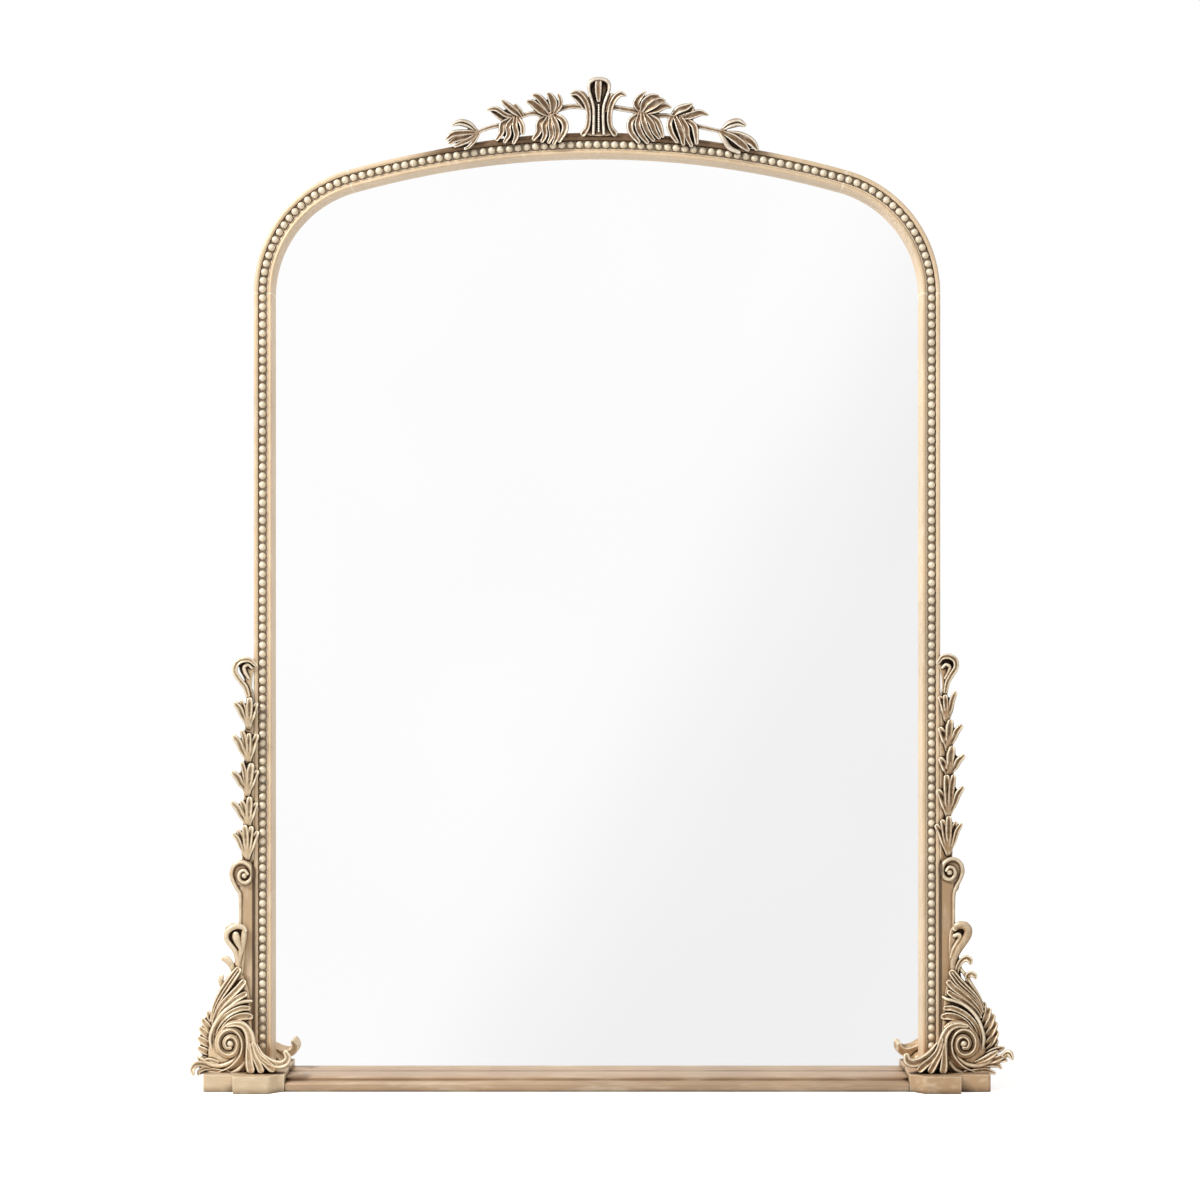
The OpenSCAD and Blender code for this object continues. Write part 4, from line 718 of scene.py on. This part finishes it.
# Each husk: its foot, then each lobe's tip, width and rise
RIGHT_HUSKS = [
    ((14.6, 218.5), [(4.6, 240.5, 6, 11.5), (9.6, 244.5, 6.4, 12.5), (15.2, 247.5, 7, 13.6), (21, 243, 6, 13),
                     (26, 242, 4.8, 15)]),
    ((14.4, 252.5), [(6.6, 271, 7, 12), (13.2, 284.5, 7.2, 13.6), (19.2, 285, 6.4, 14),
                     (26.8, 274.4, 6.2, 15)]),
    ((14.6, 287), [(8.4, 299.5, 7.2, 12), (17.8, 309.5, 8.4, 13.8), (27.4, 302.6, 6.4, 15)]),
    ((14, 312), [(8.2, 326.5, 7.4, 12), (16.4, 333.4, 7.8, 14), (25.4, 329.6, 6.2, 15)]),
    ((13, 338), [(7.6, 355.4, 5.6, 12), (12, 356.4, 5.4, 13.4), (20.6, 359.6, 5.4, 15)]),
]
LEFT_HUSKS = [
    ((13, 214.5), [(4.4, 234.5, 5.6, 11.5), (9.6, 238.5, 6.2, 12.5), (15.4, 239.6, 6.6, 13.4),
                   (21, 236, 5.8, 13), (25.4, 233.4, 4.6, 14.8)]),
    ((12, 243), [(5.4, 260, 5.4, 12), (11, 264.6, 6.6, 13.6), (18, 262, 6, 13.4), (26, 261, 6.6, 15)]),
    ((12.6, 272), [(4.6, 289, 5.6, 12), (9.6, 294.4, 7.4, 13.8), (17.6, 297, 4.8, 13.4),
                   (25.4, 287.8, 7, 15)]),
    ((12, 301), [(4.8, 321, 6.2, 12), (11.6, 322, 5.4, 13.2), (17.6, 325.4, 5.4, 13.6),
                 (24.6, 320.4, 6.6, 15)]),
    ((11.4, 332), [(5.4, 349, 5.6, 12), (11, 353.4, 7, 13.8), (18.6, 352, 4.8, 13.4), (23.6, 350, 6.2, 15)]),
]
SCROLL_BODY = ([(9, 360), (13.6, 360), (15.6, 371), (20, 380), (20, 388), (14, 391.4), (8.4, 389.6),
                (6.4, 383), (8.5, 373)], 8.5, 10)
RIGHT_HOOK = [(12.2, 360.5, 4, 12), (13.8, 368.5, 4.6, 13), (17.6, 375.5, 5, 14.2), (21.6, 382.4, 5, 15.2),
              (20.6, 388.8, 5.2, 15.6), (15, 392, 5.2, 15.4), (9.2, 391, 4.6, 14.4), (6, 387, 3.4, 13.4)]
LEFT_HOOK = [(12.6, 357, 4.4, 12), (15, 364.5, 5, 13), (20.4, 371.5, 5, 14.2), (24.2, 378.4, 5, 15.2),
             (22.8, 385, 5.2, 15.6), (17.4, 388.6, 5, 15.6), (10.6, 388.6, 4.6, 14.6),
             (5.8, 384.6, 3.4, 13.4)]
SCROLL_CURL = ([(12, 372.5, 2.6, 12), (15.2, 378, 3.4, 13.2), (16, 382.6, 3.4, 13.6),
                (12.6, 384.6, 3.2, 13.2), (9.4, 382, 2.6, 12)], "round", 0.55)
# A pilaster's blocks: their sides from its inner edge, their top and their depth, in mm
PILASTER_BLOCKS = ((0, 8, 204, 9), (3.4, 14.8, 184, 25))
PILASTER_HEAD = ([(7.6, 182), (15, 182), (22.6, 182), (25, 190), (25, 204), (18, 210), (9, 206),
                  (7.4, 196)], 24.6, 25)
# Above its foot the volute is moved by its lift. Its disc has this centre and these radii
VOLUTE_FOOT = 180
VOLUTE_DISC = (17.4, 200.6, 11.6, 11.2)
VOLUTE_POINTS = 17
VOLUTE = [(19.4, 120, 3, 26), (19.4, 150, 3, 26.2), (19.4, 168, 3, 26.4), (19.8, 179, 3.2, 27),
          (22, 186, 3.4, 27.6), (25.4, 192.6, 3.6, 28), (27.4, 199.4, 3.8, 28.4), (26, 206, 3.8, 28.6),
          (21.6, 210, 3.8, 28.8), (16, 210.2, 3.8, 29), (11.2, 206.8, 3.8, 29.2), (9, 201.2, 3.7, 29.4),
          (10.2, 195.6, 3.6, 29.6), (14.2, 192.4, 3.5, 29.8), (18.6, 193.4, 3.4, 30),
          (20.8, 197.6, 3.3, 30.2), (19.4, 202, 3.2, 30.4), (15.6, 203.2, 3, 30.6), (13, 200.4, 2.8, 30.8)]
# A spray's leaves are grouped by their section
LEFT_BRANCHES = [
    [(-10, 33.6, 4.6, 13), (-22, 34.4, 4.8, 13.5), (-32, 32.4, 4.8, 13.5), (-41, 28, 4.4, 14)],
    [(-48, 26, 4.4, 13.5), (-57, 28.4, 4.4, 13.5), (-67, 26, 4.2, 14)],
    [(-84, 17.6, 4.2, 13), (-92, 16.6, 4.2, 13), (-100, 14.2, 4, 13), (-109, 10.6, 3.8, 13)],
]
LEFT_BODIES = [
    [(-41, 31), (-34, 26), (-30, 18), (-32, 9), (-38, 5), (-48, 5), (-53, 9), (-53, 18), (-48, 25), (-53, 34),
     (-48, 39), (-41, 41), (-36, 36)],
    [(-67, 26), (-67, 16), (-69, 8), (-76, 5), (-84, 8), (-85, 16), (-80, 23), (-85, 29), (-79, 33),
     (-71, 31)],
    [(-107, 10), (-111, 15), (-122, 12), (-129, 7), (-125, 3), (-116, 1), (-110, 5)],
]
LEFT_LEAVES = {
    "hollow": [
        [(-42, 26, 4, 13), (-50, 31, 8, 15.5), (-57.5, 37.2, 7, 17), (-62, 38.8, 3.6, 17)],
        [(-42, 28, 4, 13.5), (-46.5, 36, 7, 16), (-52, 42.3, 6.5, 17.5), (-56.6, 44.6, 3.6, 17.5)],
        [(-40, 29, 4, 14), (-39, 36.5, 8.5, 16.5), (-41.5, 43.2, 6.5, 17.5), (-44, 46.2, 3, 17.5)],
        [(-45, 25.5, 4, 13), (-51.5, 20, 6, 15.5), (-52, 12, 6, 16), (-56.5, 5.5, 4, 16)],
        [(-43.5, 25, 4, 13.5), (-47, 17.5, 5.4, 16), (-46.5, 9, 5, 16.5), (-49, 3.5, 3.4, 16)],
        [(-41.5, 25, 4, 14), (-41.7, 17, 5.4, 16.5), (-40.5, 9, 5, 16.5), (-43, 2.5, 3.2, 16)],
        [(-40, 25.5, 4, 14), (-36.5, 18, 5.4, 16.5), (-35.5, 9.5, 5, 16.5), (-38.5, 1.5, 3.2, 16)],
        [(-74, 22.5, 4, 12.5), (-83, 23.5, 6, 14), (-90, 27.5, 5, 14.5), (-93.5, 29.5, 3, 14.5)],
        [(-66.5, 26, 3.4, 14), (-69.5, 31, 4.6, 15.5), (-73.5, 36, 3, 16)],
        [(-77, 23, 4, 13.5), (-84.5, 18.5, 6, 15.5), (-85.5, 11, 5.4, 16), (-89.5, 5, 3.6, 16)],
        [(-75, 23.5, 4, 14), (-79.5, 16.5, 5.6, 16.5), (-79, 9.5, 5.2, 16.5), (-82.5, 3, 3.4, 16)],
        [(-73, 24, 4, 14), (-73.5, 16.5, 5.6, 16.5), (-72, 9, 5.2, 16.5), (-74.5, 2, 3.2, 16)],
        [(-107, 10, 3, 13), (-118, 7, 5, 15), (-127, 4.5, 5.4, 16), (-132, 1.5, 3.4, 16)],
    ],
    "flute": [
        [(-37, 29, 3, 14), (-32.8, 35, 4.4, 16), (-33, 41, 4, 17), (-35, 45.5, 2.4, 17)],
        [(-38, 27, 4, 13.5), (-30.5, 22, 6.4, 16), (-28.6, 14, 6.4, 16.5), (-33.5, 4, 4, 16)],
        [(-70, 24.5, 4, 13), (-81, 26.5, 5, 14.5), (-90, 32, 5, 16.5), (-98, 31.6, 2.8, 16.5)],
        [(-68, 25.5, 4, 13.5), (-75, 31, 7, 16), (-81, 36, 6, 17), (-85, 39.6, 3, 17)],
        [(-70.5, 24, 4, 14), (-67, 17.5, 5, 16), (-66.5, 11, 4.4, 16)],
        [(-107, 11, 3, 13), (-118, 11, 6, 15), (-128.5, 9.6, 6.5, 16.5), (-134, 5.5, 4, 16.5)],
        [(-107, 10, 3, 13), (-114.5, 4.5, 5, 15), (-121, 1.5, 4.6, 15.5), (-127, -1, 3, 15.5)],
        [(-106, 10, 3, 13), (-109.5, 4, 3.8, 14.5), (-114.5, -1.5, 3, 15), (-118, -3.5, 2.4, 15)],
    ],
    "vein": [[(-107, 11.5, 3, 12.5), (-114, 17.6, 6.5, 15), (-122, 20, 6.5, 16), (-129, 18, 3, 16)]],
}
RIGHT_BRANCHES = [
    [(13, 34, 4.8, 13), (24, 32, 5, 13.5), (34, 30.4, 5, 13.5), (41, 28, 4.6, 14)],
    [(52, 25.6, 4.4, 13.5), (61, 26.2, 4.4, 13.5), (69, 24.8, 4.2, 14)],
    [(84, 18, 4.2, 13), (93, 16, 4.2, 13), (103, 13.8, 4, 13), (114, 11.4, 3.8, 13)],
]
RIGHT_BODIES = [
    [(38, 30), (32, 24), (30, 14), (35, 7), (42, 5), (51, 6), (57, 11), (55, 20), (50, 26), (57, 32),
     (54, 38), (46, 41), (38, 39), (36, 34)],
    [(67, 26), (65, 18), (67, 9), (73, 5), (82, 4), (89, 6), (89, 16), (86, 23), (90, 28), (83, 32),
     (75, 31)],
    [(112, 11), (127, 10.4), (137, 6), (141, -1), (136, -3.4), (126, -4), (119, 0), (114, 7)],
]
RIGHT_LEAVES = {
    "hollow": [
        [(38.5, 30, 4, 13.5), (35.2, 36.5, 6.5, 15.5), (37.8, 42, 6, 16.5), (43, 47, 2.8, 16.5)],
        [(40, 30, 4, 14), (43, 37.5, 8.5, 16.5), (48.5, 42, 8, 17.5), (53.5, 43.4, 4.6, 17)],
        [(42, 29.5, 4, 14), (49.5, 35.5, 9, 17), (56.5, 39.4, 7, 17.5), (60, 39.4, 3.4, 17)],
        [(44, 28.5, 4, 14), (53, 32, 8, 16.5), (61, 34.8, 6, 17), (65.8, 33.6, 2.8, 17)],
        [(38.5, 28, 4, 14), (36.5, 18, 6, 16.5), (39.5, 9.5, 5.6, 16.5), (45, 2.5, 3.6, 16)],
        [(40.5, 28, 4, 14), (42.5, 18.5, 5.8, 16.5), (46, 10.5, 5.4, 16.5), (50.5, 4.5, 3.4, 16)],
        [(42.5, 27.5, 4, 14), (48.5, 19.5, 5.8, 16.5), (51.5, 12, 5.4, 16.5), (55.5, 6.5, 3.4, 16)],
        [(74, 26, 4, 13), (81, 29.2, 6, 15), (85.5, 32.6, 4, 15.5)],
        [(73, 24.5, 4, 13), (83, 26, 7.5, 15.5), (92, 28.6, 6.5, 16.5), (98.6, 27, 3, 16.5)],
        [(70, 25, 4, 14), (73.5, 16.5, 6.6, 16.5), (76, 8.5, 6, 16.5), (77.3, 1, 3.6, 16)],
        [(75.5, 24, 4, 14), (80, 15.5, 5.8, 16.5), (81, 7.5, 5.2, 16.5), (84.5, -0.5, 3.4, 16)],
        [(113, 11, 3.4, 13), (122, 6.5, 7.5, 15.5), (130, 0.5, 8, 16.5), (135, -4, 4, 16)],
    ],
    "flute": [
        [(37.5, 28, 4, 13.5), (30.5, 21.5, 6.4, 16), (30.2, 12.5, 6.4, 16.5), (37, 3, 4.2, 16)],
        [(45, 27, 4, 13.5), (53.5, 21.5, 6, 16), (56.8, 14.5, 5.4, 16.5), (58.8, 8, 3.4, 16)],
        [(67, 26, 4, 13), (73, 31.2, 7.5, 15.5), (80, 33.8, 7, 16.5), (84.6, 36.2, 3.2, 16.5)],
        [(67, 25.5, 4, 13.5), (64.8, 18.5, 5.6, 16), (66.8, 10.5, 5.4, 16.5), (71.5, 3, 3.4, 16)],
        [(79.5, 23, 4, 14), (86.5, 17.5, 6, 16), (88.5, 10, 5.6, 16.5), (89.3, 2, 3.6, 16)],
        [(115, 11, 3.4, 13), (128, 8, 8, 15.5), (138, 2.6, 8, 16.5), (143, -3.2, 4.4, 16)],
    ],
    "vein": [[(112, 13.5, 3, 12.5), (118.5, 18, 7.5, 15), (126, 20, 8, 16), (131.6, 18, 4.5, 16)]],
    "round": [[(110, 11, 3.4, 13), (114, 4, 4.6, 15), (119, -2.8, 4.6, 16), (127, -6.6, 3.2, 16)]],
}
PALMETTE_BODIES = [
    ([(-8.6, 54), (-6.4, 58.6), (-1, 60.4), (5, 60.2), (9.6, 58.4), (12.4, 54), (11.6, 49), (8.6, 42),
      (6, 37), (-2.4, 37), (-5, 42), (-8, 48)], 12, 12.6),
    ([(-9.6, 42), (13, 42), (11.4, 28), (12, 18), (14, 9), (-10, 9), (-8, 18), (-7.6, 28)], 11.4, 12),
]
PALMETTE_STROKES = [
    ([(-3.2, 10, 2.6, 15.5), (-2.8, 23, 2.6, 16), (-3.2, 34, 2.6, 16.5), (-5.4, 42, 2.8, 17),
      (-7.2, 49, 3, 17.5), (-6.8, 55.2, 3.4, 17.8), (-2.6, 58.5, 3.6, 18),
      (2.2, 59.1, 3.6, 18)], "round", 0.62),
    ([(6.2, 10, 2.6, 15.5), (5.6, 23, 2.6, 16), (6, 34, 2.6, 16.5), (8.4, 42, 2.8, 17), (10.8, 49, 3, 17.5),
      (10.6, 55, 3.4, 17.8), (7, 58.3, 3.6, 18), (2.2, 59.1, 3.6, 18)], "round", 0.62),
    ([(1.4, 56.6, 6.4, 17.4), (1.2, 52, 6.6, 17), (1.2, 46, 5.8, 16.2), (1.4, 40, 3.6, 14.8)], "flute", 0.3),
    ([(-12, 10.4, 6, 13), (-8.6, 16, 4.8, 14.5), (-7.4, 25, 4.6, 15.5), (-8.6, 34.5, 5, 16),
      (-12.4, 42, 5.8, 17), (-17.6, 46.4, 5.6, 17.8), (-22.8, 45.8, 3.4, 18)], "flute", 0.44, 13),
    ([(-5.6, 28, 2.6, 14.5), (-7.4, 37, 3.4, 15.5), (-10.6, 44, 3.6, 16),
      (-13.4, 47.4, 2.6, 16)], "round", 0.55, 12),
    ([(-11.6, 33.6, 4.4, 13.5), (-16, 39.6, 6, 15), (-20.8, 43.6, 4.4, 15.5)], "flute", 0.45, 11),
    ([(15.6, 10.4, 6, 13), (12.2, 16, 5, 14.5), (11.2, 25, 5, 15.5), (12.6, 34.5, 5.4, 16),
      (16.2, 41.8, 6, 17), (21, 45.6, 5.6, 17.8), (25, 44.4, 3.2, 18)], "flute", 0.44, 13),
    ([(8.4, 30, 2.4, 14.5), (10.4, 39, 3, 15.5), (13.4, 45, 3, 16)], "round", 0.55, 12),
]
STEM_BEADS = 12
STEM_BEAD_PITCH = 2.1


def back_of(node):
    """How deep a node's back lies, in mm."""
    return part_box(node)[1].y / MM


def bracket(side, name, fan, strokes):
    """The scroll bracket with its fan, hook, curls, outer leaf and foot scroll."""
    clay = Clay(back_of(name + "_scroll_bracket"), side)
    clay.bodies(BRACKET_BODIES)
    clay.strokes((rows, "hollow", 0.44) for rows in fan)
    rib = [(x, z, RIB_SHARE * width, rise + RIB_RISE) for x, z, width, rise in fan[0]]
    clay.stroke(rib, "sharp", 0.7)
    clay.strokes(BRACKET_STROKES)
    clay.strokes(strokes)
    clay.ball(*SPIRAL_EYE)
    cast(clay, name + "_bracket_carving", CARVED_GILT[side], name + "_scroll_bracket")


def foot_leaf(side, name, strokes):
    """The leaf that spills over the front of the pedestal, with its inner curl."""
    clay = Clay(back_of("right_scroll_bracket"), side)
    clay.body(*FOOT_BODY)
    clay.strokes(strokes)
    cast(clay, name + "_foot_leaf_carving", CARVED_GILT[side], name + "_foot_leaf")


def husk_drop(side, name, husks):
    """Five husks, one above the other, on a narrow strip."""
    clay = Clay(MOULDING_Y + DROP_BACK, side)
    clay.body(*DROP_STRIP)
    for (x, z), lobes in husks:
        middle = sum(lobe[0] for lobe in lobes) / len(lobes)
        climb = max(lobe[1] for lobe in lobes) - z
        bulge_z = z + 0.5 * climb
        top_z = z + 0.8 * climb
        clay.body([
            (x - HUSK_NECK, z - HUSK_DIP), (x + HUSK_NECK, z - HUSK_DIP), (middle + HUSK_BULGE, bulge_z),
            (middle + HUSK_TOP, top_z), (middle - HUSK_TOP, top_z), (middle - HUSK_BULGE, bulge_z),
        ], 9.5, 12)
        for tip_x, tip_z, width, rise in lobes:
            rises = (9, 10.8, 12.4, rise - 0.4, rise + 0.6)
            clay.stroke([
                (x + lean * (tip_x - x), z + share * (tip_z - z) + more, width * broad, height)
                for (lean, share, more, broad), height in zip(LOBE_PATH, rises)
            ], "flute", 0.42)
    cast(clay, name + "_drop_carving", DROP_GILT[side], name + "_husk_drop")


def drop_scroll(side, name, hook):
    """The small hooked scroll above the husks."""
    clay = Clay(MOULDING_Y + SCROLL_BACK, side)
    clay.body(*SCROLL_BODY)
    clay.stroke(hook, "flute", 0.42)
    clay.stroke(*SCROLL_CURL)
    cast(clay, name + "_drop_scroll_carving", DROP_GILT[side], name + "_drop_scroll")


def pilaster(side, name, lift):
    """The pilaster with its raised edge, which winds up into the volute."""
    low, high = [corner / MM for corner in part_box("right_pilaster")]
    clay = Clay(high.y, side)
    for near, far, top, depth in PILASTER_BLOCKS:
        clay.block(low.x + near, low.x + far, low.z, top, high.y - depth, high.y)
    clay.body(*PILASTER_HEAD)
    x, z, wide, tall = VOLUTE_DISC
    turns = np.linspace(0, 2 * math.pi, VOLUTE_POINTS, endpoint=False)
    clay.body([(x + wide * math.cos(a), z + lift + tall * math.sin(a)) for a in turns], 25.6, 26.4, 4)
    clay.stroke([(x, z + (lift if z > VOLUTE_FOOT else 0), width, rise) for x, z, width, rise in VOLUTE],
                "round", 0.6)
    clay.ball(15.8, 198.6 + lift, 28, 2.6)
    cast(clay, name + "_pilaster_carving", PILASTER_GILT[side], name + "_pilaster")


def spray(name, branches, bodies, leaves):
    """One leafy spray of the crest."""
    clay = Clay(back_of(name), origin=(0, CREST_Z))
    clay.strokes((rows, "flute", 0.42, 9) for rows in branches)
    clay.bodies((outline, 9, 11.5, 1) for outline in bodies)
    for kind, rows_list in leaves.items():
        clay.strokes((rows, kind, 0.44, 11) for rows in rows_list)
    cast(clay, name + "_carving", CREST_GILT, name)


def palmette(name):
    """The middle of the crest: a round-headed stem with two wells, and a frond on each side."""
    clay = Clay(back_of(name), origin=(0, CREST_Z))
    clay.bodies(PALMETTE_BODIES)
    clay.strokes(PALMETTE_STROKES)
    for i in range(STEM_BEADS):
        clay.ball(1.6, 12.4 + STEM_BEAD_PITCH * i, 13.4, 1.1)
    cast(clay, name + "_carving", CREST_GILT, name)


# Vertices nearer than this, in metres, are one, and faces that turn by less than this are flat
WELD = 1e-6
FLAT = math.radians(2)
# Edges that turn by more than these angles are worn, and look sharp
WORN_EDGE = math.radians(25)
SHARP_EDGE = math.radians(28)


def softened(name, width, material):
    """A moulded node with its sharp edges worn round, by width in mm."""
    mesh = NODES[name].data.copy()
    mesh.name = name + ".worn"
    worn = bmesh.new()
    worn.from_mesh(mesh)
    bmesh.ops.remove_doubles(worn, verts=worn.verts, dist=WELD)
    bmesh.ops.dissolve_limit(worn, angle_limit=FLAT, verts=worn.verts, edges=worn.edges)
    sharp = [e for e in worn.edges if len(e.link_faces) == 2 and e.calc_face_angle() > WORN_EDGE]
    bmesh.ops.bevel(worn, geom=sharp, offset=width * MM, segments=3, profile=0.5, affect="EDGES",
                    clamp_overlap=True)
    bmesh.ops.triangulate(worn, faces=worn.faces)
    worn.to_mesh(mesh)
    worn.free()
    mesh.shade_smooth()
    mesh.set_sharp_from_angle(angle=SHARP_EDGE)
    add_piece(name + "_worn", mesh, material, name)


def carve_side(side, name, fan, strokes, foot, husks, hook, lift):
    """One side's carving and its worn pedestal."""
    bracket(side, name, fan, strokes)
    foot_leaf(side, name, foot)
    husk_drop(side, name, husks)
    drop_scroll(side, name, hook)
    pilaster(side, name, lift)
    softened(name + "_pedestal", 0.9, PEDESTAL_GILT[side])


carve_side(RIGHT, "right", RIGHT_FAN, RIGHT_STROKES, RIGHT_FOOT, RIGHT_HUSKS, RIGHT_HOOK, lift=0)
carve_side(LEFT, "left", LEFT_FAN, LEFT_STROKES, LEFT_FOOT, LEFT_HUSKS, LEFT_HOOK, lift=-3)
softened("base_rail", 0.6, BASE_GILT)
spray("crest_left_spray", LEFT_BRANCHES, LEFT_BODIES, LEFT_LEAVES)
spray("crest_right_spray", RIGHT_BRANCHES, RIGHT_BODIES, RIGHT_LEAVES)
palmette("crest_palmette")

WHITE = (1, 1, 1, 1)
# Across and up shares of the slope along which the studio turns grey, and where that starts and ends
SLANT = (0.876, 0.482)
GREY_START = -0.0035
GREY_END = 0.093
FLOOR_HALF = 6
# Glow of the floor in the camera's eye, beyond the light that falls on it
FLOOR_GLOW = 0.72
WORLD_LIGHT = 0.38
LAMP_TARGET = Vector((0, 0, 0.45))


def studio_grey(n, slant):
    """White that turns a very pale grey to one side, for what the mirror shows."""
    return n.blend(n.span(slant, GREY_START, GREY_END), WHITE, srgb(243, 243, 243))


def make_floor():
    """Pale paper that looks white to the camera and in the mirror, and keeps the object's shadow."""
    mesh = bpy.data.meshes.new("floor")
    corners = [(-1, -1), (1, -1), (1, 1), (-1, 1)]
    mesh.from_pydata([(x * FLOOR_HALF, y * FLOOR_HALF, 0) for x, y in corners], [], [(0, 1, 2, 3)])
    floor = bpy.data.objects.new("floor", mesh)
    bpy.context.scene.collection.objects.link(floor)
    made, n = material("floor_paper")
    diffuse = n.add("BsdfDiffuse")
    n.put(diffuse.inputs["Color"], n.blend(n.noise(30, 3), (0.79, 0.79, 0.79, 1), (0.81, 0.81, 0.81, 1)))
    path = n.add("LightPath")
    glow = n.add("Emission")
    n.put(glow.inputs["Strength"], n.times(path.outputs["Is Camera Ray"], FLOOR_GLOW))
    lit = n.add("AddShader")
    n.put(lit.inputs[0], diffuse.outputs[0])
    n.put(lit.inputs[1], glow.outputs[0])
    x, y, _ = n.split(n.coordinates())
    across = n.times(n.math("SUBTRACT", x, EYE_X * MM), SLANT[0])
    across = n.math("ADD", across, EYE_Z * MM * SLANT[1])
    far = n.math("ADD", n.math("ABSOLUTE", y), CAMERA_D * MM)
    shown = n.add("Emission")
    n.put(shown.inputs["Color"], studio_grey(n, n.math("DIVIDE", across, far)))
    mirrored = n.math("MAXIMUM", path.outputs["Is Glossy Ray"], path.outputs["Is Transmission Ray"])
    out = n.add("OutputMaterial")
    n.put(out.inputs[0], n.mix(mirrored, lit.outputs[0], shown.outputs[0]))
    mesh.materials.append(made)


def make_world():
    """A white studio. A mirror shows it white, with one side a very pale grey."""
    world = bpy.data.worlds.new("studio")
    bpy.context.scene.world = world
    world.use_nodes = True
    n = Tree(world.node_tree)
    path = n.add("LightPath")
    seen = n.math("MAXIMUM", path.outputs["Is Camera Ray"], path.outputs["Is Glossy Ray"])
    seen = n.math("MAXIMUM", seen, path.outputs["Is Transmission Ray"])
    x, y, z = n.split(n.coordinates("Generated"))
    far = n.math("MAXIMUM", n.math("ABSOLUTE", y), 0.05)
    across = n.times(n.math("DIVIDE", x, far), SLANT[0])
    up = n.times(n.math("DIVIDE", z, far), SLANT[1])
    grey = studio_grey(n, n.math("SUBTRACT", across, up))
    shown = n.add("Background")
    n.put(shown.inputs["Color"], n.blend(path.outputs["Is Glossy Ray"], WHITE, grey))
    light = n.add("Background")
    light.inputs["Color"].default_value = WHITE
    light.inputs["Strength"].default_value = WORLD_LIGHT
    out = n.add("OutputWorld")
    n.put(out.inputs[0], n.mix(seen, light.outputs[0], shown.outputs[0]))


def make_lamp(name, place, power, size):
    """A square lamp that lights the object and isn't seen."""
    data = bpy.data.lights.new(name, "AREA")
    data.energy = power
    data.shape = "SQUARE"
    data.size = size
    lamp = bpy.data.objects.new(name, data)
    lamp.location = place
    lamp.rotation_euler = (lamp.location - LAMP_TARGET).to_track_quat("Z", "Y").to_euler()
    lamp.visible_camera = False
    bpy.context.scene.collection.objects.link(lamp)


def make_camera():
    """The photograph's straight front view."""
    data = bpy.data.cameras.new("camera")
    data.lens = LENS
    camera = bpy.data.objects.new("camera", data)
    camera.location = (EYE_X * MM, (MOULDING_Y - CAMERA_D) * MM, EYE_Z * MM)
    camera.rotation_euler = (math.pi / 2, 0, 0)
    bpy.context.scene.collection.objects.link(camera)
    bpy.context.scene.camera = camera


make_floor()
make_world()
make_camera()
make_lamp("key", place=(-2.2, -1.6, 2.4), power=92, size=0.5)
make_lamp("fill", place=(2.2, -2.8, 0.9), power=8, size=1.6)
bpy.context.scene.view_settings.view_transform = "Standard"
